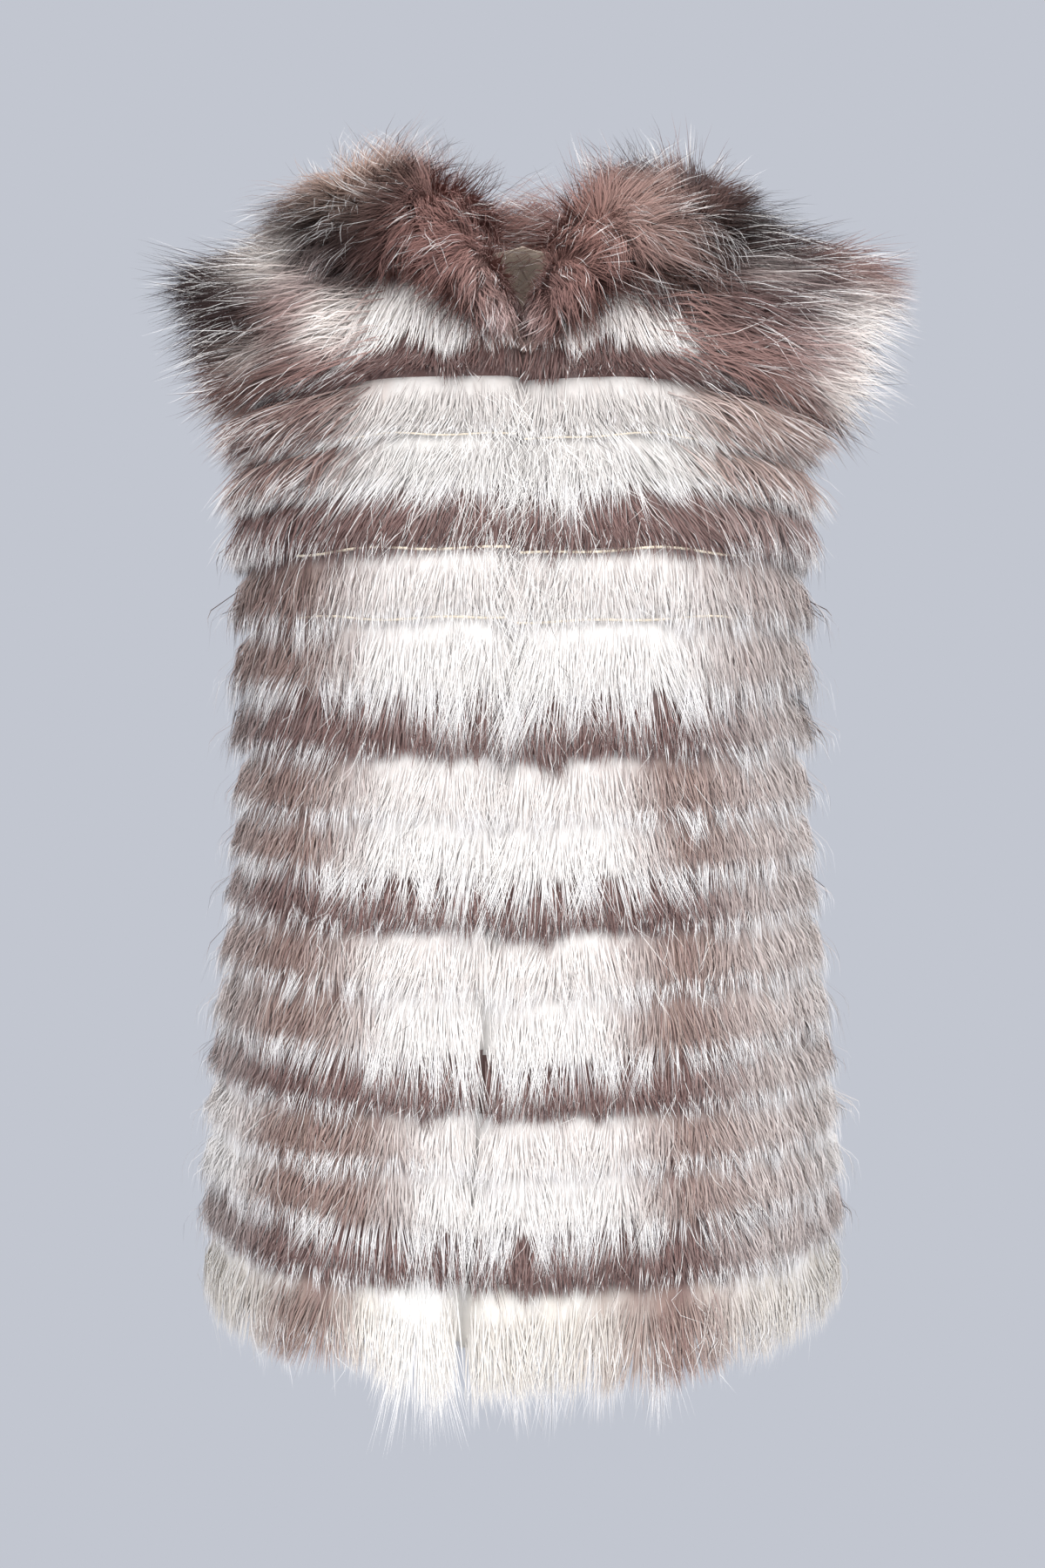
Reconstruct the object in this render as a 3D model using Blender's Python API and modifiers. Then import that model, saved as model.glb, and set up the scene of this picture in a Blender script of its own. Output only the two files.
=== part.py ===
"""Fur vest, as worn: a ground of thin leather, rows of fur strips, a fur collar and fur round the armholes.

Metres, +Z up. The front faces -Y and the wearer's left is +X. The origin lies between the shoulders.
Each piece of fur is a plain solid of the hair's reach, laid on the leather from the leather's own points.
"""

import math
from collections import namedtuple

import bmesh
import bpy
import numpy as np

# Cloth and gaps
LEATHER = 0.0015  # thickness of the ground
GAP = 0.0003  # between a strip and what it lies on
SEAM_GAP = 0.0013  # between panels on the outside, so that their inner edges keep about GAP
OPENING_GAP = 0.0012  # between the two front edges at the chest
OPENING_SPREAD = 0.0050  # how much further apart they hang at the hem

# Heights, from the origin between the shoulders
CHEST_HEIGHT = -0.090  # above this the fronts and the back round over to the shoulder seam
FIRST_SEAM_HEIGHT = -0.052  # top of the first strip at the centre
HEM_HEIGHT = -0.618  # lower edge of the last strip's leather at the centre
FRONT_NECK_HEIGHT = -0.020  # foot of the V
BACK_NECK_HEIGHT = 0.030
NECK_POINT_HEIGHT = 0.028  # where the shoulder seam meets the neck

# Widths
NECK_HALF_WIDTH = 0.062
SHOULDER_HALF_WIDTH = 0.146
SHOULDER_SLOPE = 0.45  # fall for each metre out along the shoulder seam
OPENING_DRIFT = 0.036  # how far the front edges hang towards the wearer's right at the hem
OPENING_DRIFT_POWER = 1.3

# Roundness of a level section and of the shoulder: 2 is an ellipse, more is squarer
SECTION_POWER = 2.4
SHOULDER_POWER = 1.75

# Rows and columns of the cut
STRIPS = 16
UNDERARM_SEAM = 3  # the strip seam that meets the foot of the armhole
YOKE_ROWS = 4  # rows of points from the top edge of a panel to the first strip seam
FRONT_COLUMNS = 7
BACK_HALF_COLUMNS = 6
NECK_COLUMNS = 3  # columns of each half panel that end at the neck; the others end at the shoulder seam
FINE_STEPS = 200  # points used to space the columns evenly along a seam
FRONT, BACK = -1, 1
LEFT, RIGHT = 1, -1
QUARTER_TURN = math.pi / 2

# The ground's own form, hem to chest
Section = namedtuple("Section", "height half_width front_depth back_depth")
BODY = (
    Section(-0.630, 0.172, 0.112, 0.116),
    Section(-0.540, 0.174, 0.110, 0.117),
    Section(-0.440, 0.167, 0.104, 0.108),
    Section(-0.340, 0.157, 0.099, 0.092),
    Section(-0.240, 0.152, 0.104, 0.086),
    Section(-0.160, 0.153, 0.113, 0.094),
    Section(-0.090, 0.154, 0.110, 0.099),
)

# How far a strip seam rises (+) or falls (-) from the centre to the side, from the chest to the hem
SIDE_SHIFT_AT_CHEST = -0.010
SIDE_SHIFT_AT_HEM = 0.032

# Half width of the panel at the armhole, for each strip seam above the underarm
ARMHOLE_HALF_WIDTH = (0.139, 0.141, 0.150)

# Soft folds at the hem: where they stand round the body, how broad they are and how far they swell out
Fold = namedtuple("Fold", "facing side turn breadth swell")
FOLDS = (
    Fold(FRONT, LEFT, math.radians(34), math.radians(15), 0.006),
    Fold(FRONT, RIGHT, math.radians(42), math.radians(13), 0.005),
    Fold(BACK, LEFT, math.radians(30), math.radians(14), 0.006),
    Fold(BACK, RIGHT, math.radians(38), math.radians(16), 0.007),
)
FOLD_TOP_HEIGHT = -0.330  # the folds run out here

# Reach of the fur on a strip: how far down, in rows from the strip's own seam, and how far out
Mark = namedtuple("Mark", "down out")
EDGE = 0.006  # keeps neighbours in a row apart, in rows
STRIP_REACH = (
    Mark(EDGE, GAP),
    Mark(EDGE, 0.0035),
    Mark(0.75, 0.0180),
    Mark(1.28, 0.0160),
    Mark(1.28, 0.0122),
    Mark(1 - EDGE, 0.0050),
    Mark(1 - EDGE, GAP),
)
OVERHANG = STRIP_REACH[3:]  # the stretch that hangs over the strip below
HEM_REACH = (
    Mark(EDGE, GAP),
    Mark(EDGE, 0.0035),
    Mark(0.75, 0.0180),
    Mark(2.30, 0.0100),
    Mark(2.30, 0.0030),
    Mark(1 - EDGE, GAP),
)
YOKE_TOP_OUT = 0.0035  # reach of a yoke's fur at its top edge
YOKE_FULL_OUT = 0.0180
YOKE_SWELL = 0.30  # how much it gains for each metre down from there

# Collar: reach out from the neck edge and rise above it, from the front end round to the centre back
Station = namedtuple("Station", "share reach rise")
COLLAR = (
    Station(0.00, 0.042, 0.040),
    Station(0.22, 0.060, 0.050),
    Station(0.45, 0.074, 0.060),
    Station(0.60, 0.084, 0.066),
    Station(0.80, 0.076, 0.062),
    Station(1.00, 0.070, 0.058),
)
COLLAR_SECTIONS = 11  # on each side of the centre back
COLLAR_SEAT = 0.0069  # height of its root above the neck edge, just clear of the yokes
CollarMark = namedtuple("CollarMark", "out up")
COLLAR_PROFILE = (
    CollarMark(0.02, 0.00),
    CollarMark(0.30, 0.36),
    CollarMark(1.00, 0.56),
    CollarMark(0.86, 0.86),
    CollarMark(0.42, 1.00),
    CollarMark(-0.04, 0.80),
    CollarMark(-0.10, 0.36),
)

# Fur past the armhole, over the shoulder from the chest to the shoulder blade
ARMHOLE_REACH = 0.068
ARMHOLE_FLARE = 0.30  # how much the fur leans away from the arm
ARMHOLE_TAPER = 0.45  # how much shorter it is at its lower ends
ARMHOLE_ROOT_GAP = 0.0024  # from the edge of the leather
ARMHOLE_CLEARANCE = 0.0165  # from the ends of the strips, at the top of their fur
ARMHOLE_ROOT_OUT = 0.0200
ARMHOLE_TIP_OUT = 0.0150
ARMHOLE_TIP_IN = 0.0040
ARMHOLE_DROOP = 0.012  # how far the tips hang below the root at the shoulder
ARMHOLE_SEAMS = 1  # it runs down to this strip seam at the front and the back

# Finish of each kind of piece
Finish = namedtuple("Finish", "colour roughness")
LEATHER_FINISH = Finish((0.74, 0.66, 0.56, 1.0), 0.70)
PALE_FUR = Finish((0.86, 0.83, 0.80, 1.0), 0.60)
BROWN_FUR = Finish((0.20, 0.13, 0.12, 1.0), 0.60)
ROW_FINISHES = (PALE_FUR, PALE_FUR, BROWN_FUR)


def clear_scene():
    for thing in list(bpy.data.objects):
        bpy.data.objects.remove(thing)


def curve_through(places, values, place):
    """Value at a place on a smooth curve through a short table, level past the table's ends."""
    places = np.asarray(places, float)
    values = np.asarray(values, float)
    slopes = np.gradient(values, places)
    place = np.clip(place, places[0], places[-1])
    i = np.clip(np.searchsorted(places, place) - 1, 0, len(places) - 2)
    span = places[i + 1] - places[i]
    t = (place - places[i]) / span
    near = (1 + 2 * t) * (1 - t) ** 2 * values[i] + t * (1 - t) ** 2 * span * slopes[i]
    far = t**2 * (3 - 2 * t) * values[i + 1] + t**2 * (t - 1) * span * slopes[i + 1]
    return near + far


def body_size(column, height):
    heights = [section.height for section in BODY]
    sizes = [getattr(section, column) for section in BODY]
    return curve_through(heights, sizes, height)


def shoulder_height(x):
    return NECK_POINT_HEIGHT - SHOULDER_SLOPE * (np.abs(x) - NECK_HALF_WIDTH)


def turn_at(x, half_width):
    """Turn round the body from the centre line, where the ground is x from it."""
    share = np.clip(np.abs(x) / half_width, 0, 1)
    return np.sign(x) * np.arcsin(share ** (SECTION_POWER / 2))


def fold_swell(turn, height, facing, side):
    """How far the soft folds stand out here. They grow from the waist to the hem."""
    grown = np.clip((FOLD_TOP_HEIGHT - height) / (FOLD_TOP_HEIGHT - HEM_HEIGHT), 0, 1) ** 2
    swell = 0.0
    for fold in FOLDS:
        if fold.facing == facing and fold.side == side:
            swell = swell + fold.swell * np.exp(-(((turn - fold.turn) / fold.breadth) ** 2))
    return swell * grown


def body_points(turn, height, facing, side):
    """Points on the outside of the ground, for turns from the centre line on one side of the body."""
    half_width = body_size("half_width", height)
    depth = body_size("front_depth" if facing == FRONT else "back_depth", height)
    x = half_width * np.sign(turn) * np.abs(np.sin(turn)) ** (2 / SECTION_POWER)
    y = depth * np.abs(np.cos(turn)) ** (2 / SECTION_POWER)
    lift = np.clip((height - CHEST_HEIGHT) / (shoulder_height(x) - CHEST_HEIGHT), 0, 1)
    y = y * (1 - lift**SHOULDER_POWER) ** (1 / SHOULDER_POWER)
    y = y + fold_swell(turn, height, facing, side) + SEAM_GAP / 2
    return np.stack(np.broadcast_arrays(side * x, facing * y, height), axis=-1)


def seam_centre(seam):
    return FIRST_SEAM_HEIGHT + (HEM_HEIGHT - FIRST_SEAM_HEIGHT) * seam / STRIPS


def seam_heights(seam, turn):
    """Height of a strip seam at each turn. It rises or falls towards the side."""
    side_shift = SIDE_SHIFT_AT_CHEST + (SIDE_SHIFT_AT_HEM - SIDE_SHIFT_AT_CHEST) * seam / STRIPS
    return seam_centre(seam) + side_shift * (turn / QUARTER_TURN) ** 2


def front_edge(height, side):
    """Distance of a front's edge from the centre line, towards its own side."""
    down = np.clip((FIRST_SEAM_HEIGHT - height) / (FIRST_SEAM_HEIGHT - HEM_HEIGHT), 0, 1)
    drift = OPENING_DRIFT * down**OPENING_DRIFT_POWER
    apart = OPENING_GAP + OPENING_SPREAD * down**2
    return apart / 2 - side * drift


def inner_edge(height, facing, side):
    return front_edge(height, side) if facing == FRONT else 0.0


def evenly_along(points, columns):
    """Points at equal steps along a fine row of points."""
    steps = np.linalg.norm(np.diff(points, axis=0), axis=1)
    run = np.concatenate(([0.0], np.cumsum(steps)))
    wanted = np.linspace(0, run[-1], columns + 1)
    return np.stack([np.interp(wanted, run, points[:, axis]) for axis in range(3)], axis=-1)


def seam_points(seam, facing, side, columns):
    """One strip seam, from the centre or the front edge to the side seam or the armhole."""
    half_width = body_size("half_width", seam_centre(seam))
    first = turn_at(inner_edge(seam_centre(seam), facing, side), half_width)
    last = QUARTER_TURN
    if seam < UNDERARM_SEAM:
        last = turn_at(ARMHOLE_HALF_WIDTH[seam], half_width)
    turn = np.linspace(first, last, FINE_STEPS)
    return evenly_along(body_points(turn, seam_heights(seam, turn), facing, side), columns)


def shoulder_lean(x, height):
    """How far the ground leans in over the shoulder here: nothing at the chest, a quarter turn at the seam."""
    lift = np.clip((height - CHEST_HEIGHT) / (shoulder_height(x) - CHEST_HEIGHT), 0, 1)
    return np.arcsin(lift ** (SHOULDER_POWER / 2))


def shoulder_points(x, lean, facing, side):
    """Points on the outside of the ground above the chest, x from the centre line."""
    turn = turn_at(x, body_size("half_width", CHEST_HEIGHT))
    lift = np.sin(lean) ** (2 / SHOULDER_POWER)
    height = CHEST_HEIGHT + (shoulder_height(x) - CHEST_HEIGHT) * lift
    return body_points(turn, height, facing, side)


def top_edge(facing, side, columns):
    """Distance from the centre line, and lean, of a panel's top edge: along the neck, then the shoulder.

    The front neck is a V and the back neck is round.
    """
    neck_height = FRONT_NECK_HEIGHT if facing == FRONT else BACK_NECK_HEIGHT
    inner = inner_edge(neck_height, facing, side)
    along_neck = np.linspace(0, 1, NECK_COLUMNS + 1)
    out, back_over = along_neck, along_neck
    if facing == BACK:
        out = np.sin(QUARTER_TURN * along_neck)
        back_over = 1 - np.cos(QUARTER_TURN * along_neck)
    neck_x = inner + (NECK_HALF_WIDTH - inner) * out
    foot = shoulder_lean(inner, neck_height)
    neck_lean = foot + (QUARTER_TURN - foot) * back_over
    along_shoulder = np.linspace(0, 1, columns - NECK_COLUMNS + 1)[1:]
    shoulder_x = NECK_HALF_WIDTH + (SHOULDER_HALF_WIDTH - NECK_HALF_WIDTH) * along_shoulder
    seam_lean = np.full(len(shoulder_x), QUARTER_TURN)
    return np.concatenate((neck_x, shoulder_x)), np.concatenate((neck_lean, seam_lean))


def yoke_points(first_seam, facing, side, columns):
    """Rows of points from a panel's top edge down to the row above its first strip seam."""
    top_x, top_lean = top_edge(facing, side, columns)
    seam_x = side * first_seam[:, 0]
    seam_lean = shoulder_lean(seam_x, first_seam[:, 2])
    rows = []
    for row in range(YOKE_ROWS):
        down = row / YOKE_ROWS
        x = top_x + (seam_x - top_x) * down
        lean = top_lean + (seam_lean - top_lean) * down
        rows.append(shoulder_points(x, lean, facing, side))
    return rows


def half_panel(facing, side, columns):
    """Grid of points, top edge to hem, centre to side."""
    seams = [seam_points(seam, facing, side, columns) for seam in range(STRIPS + 1)]
    return np.array(yoke_points(seams[0], facing, side, columns) + seams)


def back_panel():
    left = half_panel(BACK, LEFT, BACK_HALF_COLUMNS)
    right = half_panel(BACK, RIGHT, BACK_HALF_COLUMNS)
    return np.concatenate((left[:, ::-1], right[:, 1:]), axis=1)


def grid_triangles(rows, columns):
    """Corners of a grid's triangles. Every cell is cut from its upper left to its lower right."""
    triangles = []
    for row in range(rows - 1):
        for column in range(columns - 1):
            corner = row * columns + column
            below = corner + columns
            triangles.append((corner, below, below + 1))
            triangles.append((corner, below + 1, corner + 1))
    return np.array(triangles)


def outward_triangles(grid):
    """The triangles of a panel's points, turned so that they face away from the body."""
    triangles = grid_triangles(*grid.shape[:2])
    a, b, c = np.moveaxis(grid.reshape(-1, 3)[triangles], 1, 0)
    outside = (a + b + c) * (1, 1, 0)
    if np.sum(np.cross(b - a, c - a) * outside) < 0:
        triangles = triangles[:, ::-1]
    return triangles


def outward_normals(grid):
    """Unit normals of a panel's points: the mean of the triangles round each one."""
    triangles = outward_triangles(grid)
    points = grid.reshape(-1, 3)
    a, b, c = np.moveaxis(points[triangles], 1, 0)
    facing = np.cross(b - a, c - a)
    facing /= np.linalg.norm(facing, axis=1, keepdims=True)
    normals = np.zeros_like(points)
    for corner in range(3):
        np.add.at(normals, triangles[:, corner], facing)
    normals /= np.linalg.norm(normals, axis=1, keepdims=True)
    return normals.reshape(grid.shape)


def new_object(name, mesh, finish):
    """An object in the vest's collection, with a material of its own."""
    material = bpy.data.materials.new(name + "_finish")
    material.use_nodes = True
    shader = material.node_tree.nodes["Principled BSDF"]
    shader.inputs["Base Color"].default_value = finish.colour
    shader.inputs["Roughness"].default_value = finish.roughness
    shader.inputs["Metallic"].default_value = 0.0
    mesh.materials.append(material)
    thing = bpy.data.objects.new(name, mesh)
    vest.objects.link(thing)
    return thing


def leather_panel(name, grid):
    """A wall of leather: the outside as an open grid, made thick inwards."""
    mesh = bpy.data.meshes.new(name)
    mesh.from_pydata(grid.reshape(-1, 3).tolist(), [], outward_triangles(grid).tolist())
    mesh.shade_smooth()
    panel = new_object(name, mesh, LEATHER_FINISH)
    wall = panel.modifiers.new("Leather", "SOLIDIFY")
    wall.thickness = LEATHER
    wall.offset = -1


def loft(name, rings, finish):
    """A closed solid through rings of points, capped at both ends. Its sides are cut as the panels are."""
    work = bmesh.new()
    rows = [[work.verts.new(point) for point in ring] for ring in rings]
    for near, far in zip(rows, rows[1:]):
        for i in range(len(near)):
            j = (i + 1) % len(near)
            work.faces.new((near[i], near[j], far[i]))
            work.faces.new((near[j], far[j], far[i]))
    work.faces.new(rows[0])
    work.faces.new(rows[-1])
    bmesh.ops.recalc_face_normals(work, faces=work.faces)
    mesh = bpy.data.meshes.new(name)
    work.to_mesh(mesh)
    work.free()
    new_object(name, mesh, finish)


def with_fringe_rows(grid):
    """The panel's points with two more rows, which carry on past the hem."""
    step = grid[-1] - grid[-2]
    return np.concatenate((grid, [grid[-1] + step, grid[-1] + 2 * step]))


def unit(vector):
    return vector / np.linalg.norm(vector)


def moved_out(points, normals, down, out):
    """A column's point so many rows down, moved out from the panel."""
    row = min(int(down), len(points) - 2)
    t = down - row
    normal = unit(normals[row] * (1 - t) + normals[row + 1] * t)
    return points[row] * (1 - t) + points[row + 1] * t + normal * out


def strip_fur(name, grid, first_row, marks, finish):
    """A fur strip laid on a panel: each column's section is the panel's points, moved down and out."""
    points = with_fringe_rows(grid)
    normals = outward_normals(points)
    rings = []
    for column in range(points.shape[1]):
        spine, facing = points[:, column], normals[:, column]
        rings.append([moved_out(spine, facing, first_row + mark.down, mark.out) for mark in marks])
    loft(name, rings, finish)


def yoke_fur(name, grid, finish):
    """The fur above the first strip: it swells down from the top edge, and hangs over that strip."""
    normals = outward_normals(grid)
    rings = []
    for column in range(grid.shape[1]):
        spine, facing = grid[:, column], normals[:, column]
        run = np.concatenate(([0.0], np.cumsum(np.linalg.norm(np.diff(spine, axis=0), axis=1))))
        outs = np.minimum(YOKE_TOP_OUT + YOKE_SWELL * run, YOKE_FULL_OUT)
        marks = [Mark(row, outs[row]) for row in range(YOKE_ROWS)]
        marks += [Mark(mark.down + YOKE_ROWS - 1, mark.out) for mark in OVERHANG]
        marks += [Mark(row, GAP) for row in range(YOKE_ROWS - 1, -1, -1)]
        rings.append([moved_out(spine, facing, mark.down, mark.out) for mark in marks])
    loft(name, rings, finish)


def panel_fur(panel, grid):
    """The yoke and the strips of one panel."""
    yoke_fur(panel + "_yoke", grid, BROWN_FUR)
    for strip in range(STRIPS):
        marks = HEM_REACH if strip == STRIPS - 1 else STRIP_REACH
        name = f"{panel}_strip_{strip + 1:02d}"
        strip_fur(name, grid, YOKE_ROWS + strip, marks, ROW_FINISHES[strip % len(ROW_FINISHES)])


def neck_frames(front, back):
    """Places on the left half of the neck edge, front to centre back, with the ways out and up from there."""
    centre = back.shape[1] // 2
    along_shoulder = front[0, -1] - front[0, NECK_COLUMNS]
    frames = []
    for column in range(NECK_COLUMNS):
        frames.append((front[0, column], front[1, column] - front[0, column]))
    frames.append((front[0, NECK_COLUMNS], along_shoulder))
    for column in range(centre - NECK_COLUMNS + 1, centre + 1):
        frames.append((back[0, column], back[1, column] - back[0, column]))
    places = np.array([place for place, _ in frames])
    outs = np.array([unit(out) for _, out in frames])
    along = np.gradient(places, axis=0)
    ups = np.array([unit(np.cross(out, run)) for out, run in zip(outs, along)])
    return places, outs, ups * np.sign(ups[:, 2:3])


def between(values, share):
    """Value at a share of the way along a row of values."""
    at = share * (len(values) - 1)
    i = min(int(at), len(values) - 2)
    return values[i] + (values[i + 1] - values[i]) * (at - i)


def collar_half(front, back):
    """Rings of the collar's left half, front end to centre back."""
    places, outs, ups = neck_frames(front, back)
    shares = [station.share for station in COLLAR]
    rings = []
    for share in np.linspace(0, 1, COLLAR_SECTIONS + 1):
        place, out, up = between(places, share), unit(between(outs, share)), unit(between(ups, share))
        reach = curve_through(shares, [station.reach for station in COLLAR], share)
        rise = curve_through(shares, [station.rise for station in COLLAR], share)
        seat = place + up * COLLAR_SEAT
        rings.append([seat + out * reach * mark.out + up * rise * mark.up for mark in COLLAR_PROFILE])
    return np.array(rings)


def collar(front, back):
    half = collar_half(front, back)
    half[-1, :, 0] = 0.0
    other_half = half[::-1][1:] * (-1, 1, 1)
    loft("collar", np.concatenate((half, other_half)), BROWN_FUR)


def armhole_ring(edge, inside, normal, share):
    """Section of the fur past one place on the armhole edge, at a share of the way down from the shoulder."""
    along_panel = unit(edge - inside)
    out = unit(normal * ARMHOLE_FLARE + (np.sign(edge[0]), 0, 0))
    droop = np.array((0, 0, -ARMHOLE_DROOP))
    tip = edge + out * ARMHOLE_REACH * (1 - ARMHOLE_TAPER * share**2) + droop
    return [
        edge + along_panel * ARMHOLE_ROOT_GAP - normal * LEATHER,
        edge + along_panel * ARMHOLE_CLEARANCE + normal * ARMHOLE_ROOT_OUT,
        tip + normal * ARMHOLE_TIP_OUT,
        tip + normal * ARMHOLE_TIP_IN,
    ]


def armhole_fur(name, front, back_half):
    """Fur round the top of an armhole, from the chest over the shoulder to the back."""
    last_row = YOKE_ROWS + ARMHOLE_SEAMS
    rings = []
    for panel, rows in ((front, range(last_row, -1, -1)), (back_half, range(1, last_row + 1))):
        normals = outward_normals(panel)
        for row in rows:
            rings.append(armhole_ring(panel[row, -1], panel[row, -2], normals[row, -1], row / last_row))
    loft(name, rings, BROWN_FUR)


clear_scene()
vest = bpy.data.collections.new("fur_vest")
bpy.context.scene.collection.children.link(vest)

left_front = half_panel(FRONT, LEFT, FRONT_COLUMNS)
right_front = half_panel(FRONT, RIGHT, FRONT_COLUMNS)
back = back_panel()
for panel, points in (("left_front", left_front), ("right_front", right_front), ("back", back)):
    leather_panel(panel, points)
    panel_fur(panel, points)
collar(left_front, back)
armhole_fur("left_armhole_fur", left_front, half_panel(BACK, LEFT, BACK_HALF_COLUMNS))
armhole_fur("right_armhole_fur", right_front, half_panel(BACK, RIGHT, BACK_HALF_COLUMNS))
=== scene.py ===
"""Looks of the fur vest: leather shells, and the hair of the strips, yokes, collar and armholes.

Metres, in the part's own frame: the front faces -Y and the wearer's left is +X. The ground's form is worked
out from the same sizes as the solids, and the hair is made as thin ribbons that lie along it.
"""

import math
from collections import namedtuple

import bpy
import numpy as np
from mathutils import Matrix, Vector


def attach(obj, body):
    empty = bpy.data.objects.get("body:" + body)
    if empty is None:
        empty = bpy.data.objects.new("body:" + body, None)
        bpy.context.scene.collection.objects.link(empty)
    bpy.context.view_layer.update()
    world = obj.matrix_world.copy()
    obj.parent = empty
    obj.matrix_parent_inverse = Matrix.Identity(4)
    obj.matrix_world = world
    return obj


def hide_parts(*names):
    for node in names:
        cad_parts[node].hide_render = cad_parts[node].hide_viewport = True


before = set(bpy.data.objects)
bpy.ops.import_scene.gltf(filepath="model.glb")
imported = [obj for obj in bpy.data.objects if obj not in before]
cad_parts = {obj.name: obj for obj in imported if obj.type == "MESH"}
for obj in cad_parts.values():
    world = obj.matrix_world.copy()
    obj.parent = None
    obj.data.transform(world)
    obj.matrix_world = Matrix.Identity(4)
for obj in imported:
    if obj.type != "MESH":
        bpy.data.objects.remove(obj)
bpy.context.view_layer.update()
chance = np.random.default_rng(11)

# The ground's sizes, as in the solids
LEATHER = 0.0015
SEAM_GAP = 0.0013
OPENING_GAP = 0.0012
OPENING_SPREAD = 0.0050
CHEST_HEIGHT = -0.090
FIRST_SEAM_HEIGHT = -0.052
HEM_HEIGHT = -0.618
FRONT_NECK_HEIGHT = -0.020
BACK_NECK_HEIGHT = 0.030
NECK_POINT_HEIGHT = 0.028
NECK_HALF_WIDTH = 0.062
SHOULDER_HALF_WIDTH = 0.146
SHOULDER_SLOPE = 0.45
OPENING_DRIFT = 0.036
OPENING_DRIFT_POWER = 1.3
SECTION_POWER = 2.4
SHOULDER_POWER = 1.75
STRIPS = 16
STRIP_HEIGHT = (FIRST_SEAM_HEIGHT - HEM_HEIGHT) / STRIPS
SIDE_SHIFT_AT_CHEST = -0.010
SIDE_SHIFT_AT_HEM = 0.032
ARMHOLE_SEAMS = (0, 1, 2)
ARMHOLE_HALF_WIDTH = (0.139, 0.141, 0.150)
UNDERARM_SEAM = 3
QUARTER_TURN = math.pi / 2
FRONT, BACK = -1, 1
LEFT, RIGHT = 1, -1

Section = namedtuple("Section", "height half_width front_depth back_depth")
BODY = (
    Section(-0.630, 0.172, 0.112, 0.116),
    Section(-0.540, 0.174, 0.110, 0.117),
    Section(-0.440, 0.167, 0.104, 0.108),
    Section(-0.340, 0.157, 0.099, 0.092),
    Section(-0.240, 0.152, 0.104, 0.086),
    Section(-0.160, 0.153, 0.113, 0.094),
    Section(-0.090, 0.154, 0.110, 0.099),
)
Fold = namedtuple("Fold", "facing side turn breadth swell")
FOLDS = (
    Fold(FRONT, LEFT, math.radians(34), math.radians(15), 0.006),
    Fold(FRONT, RIGHT, math.radians(42), math.radians(13), 0.005),
    Fold(BACK, LEFT, math.radians(30), math.radians(14), 0.006),
    Fold(BACK, RIGHT, math.radians(38), math.radians(16), 0.007),
)
FOLD_TOP_HEIGHT = -0.330

# Fineness of the ground's grid
YOKE_STEPS = 16
STRIP_STEPS = 4
FRINGE_ROWS = 3
COLUMNS = 42
NECK_COLUMNS = {FRONT: 18, BACK: 21}  # those that end at the neck
FINE_STEPS = 240

# How far the fur's rows lie below the even seams of the grid: strips down, and the drop in strips
FUR_DROPS = (
    (-1, 0.0), (0, 0.33), (2, 0.05), (4, 0.20), (6.5, 0.42), (9, 0.27), (11, 0.29), (15, 0.0), (16, 0.0),
)
SIDE_DROP = 0.22  # more by the armholes
SIDE_DROP_FROM = (0.45, 1.0)
SIDE_DROP_END = 2.5
OPENING_STEP = 0.09  # and more on the left front beside the opening
OPENING_STEP_END = 0.40
OPENING_STEP_ROWS = (-0.5, 0.3)


def srgb(red, green, blue):
    """Linear colour of a screen colour."""
    share = np.array((red, green, blue)) / 255
    return np.where(share <= 0.04045, share / 12.92, ((share + 0.055) / 1.055) ** 2.4)


def mixed(first, second, share):
    """Colours between two colours or rows of them, for a share or an array of shares."""
    share = np.asarray(share)[..., None]
    return first * (1 - share) + second * share


def between(first, last, share):
    """A value that goes evenly from one to another."""
    return first + (last - first) * share


def smooth(low, high, value):
    """0 below low, 1 above high, and a soft step between."""
    t = np.clip((value - low) / (high - low), 0, 1)
    return t * t * (3 - 2 * t)


def hump(place, middle, half_width):
    """1 at the middle, falling softly to nothing on both sides."""
    return np.exp(-(((place - middle) / half_width) ** 2))


def unit(vectors):
    return vectors / np.maximum(np.linalg.norm(vectors, axis=-1, keepdims=True), 1e-12)


def curve_through(places, values, place):
    """Value at a place on a smooth curve through a short table, level past the table's ends."""
    places = np.asarray(places, float)
    values = np.asarray(values, float)
    slopes = np.gradient(values, places)
    place = np.clip(place, places[0], places[-1])
    i = np.clip(np.searchsorted(places, place) - 1, 0, len(places) - 2)
    span = places[i + 1] - places[i]
    t = (place - places[i]) / span
    near = (1 + 2 * t) * (1 - t) ** 2 * values[i] + t * (1 - t) ** 2 * span * slopes[i]
    far = t**2 * (3 - 2 * t) * values[i + 1] + t**2 * (t - 1) * span * slopes[i + 1]
    return near + far


def points_along(points, marks, wanted):
    """Points at wanted places along a row of points that have marks of their own."""
    return np.stack([np.interp(wanted, marks, points[:, axis]) for axis in range(3)], axis=-1)


def grid_corners(rows, columns):
    """Numbers of the first corner of each cell of a grid, row by row."""
    return (np.arange(rows - 1)[:, None] * columns + np.arange(columns - 1)).ravel()


# The ground

def body_size(column, height):
    heights = [section.height for section in BODY]
    sizes = [getattr(section, column) for section in BODY]
    return curve_through(heights, sizes, height)


def shoulder_height(x):
    return NECK_POINT_HEIGHT - SHOULDER_SLOPE * (np.abs(x) - NECK_HALF_WIDTH)


def turn_at(x, half_width):
    share = np.clip(np.abs(x) / half_width, 0, 1)
    return np.sign(x) * np.arcsin(share ** (SECTION_POWER / 2))


def shoulder_lift(x, height):
    """Share of the way up from the chest to the shoulder."""
    return np.clip((height - CHEST_HEIGHT) / (shoulder_height(x) - CHEST_HEIGHT), 0, 1)


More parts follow.
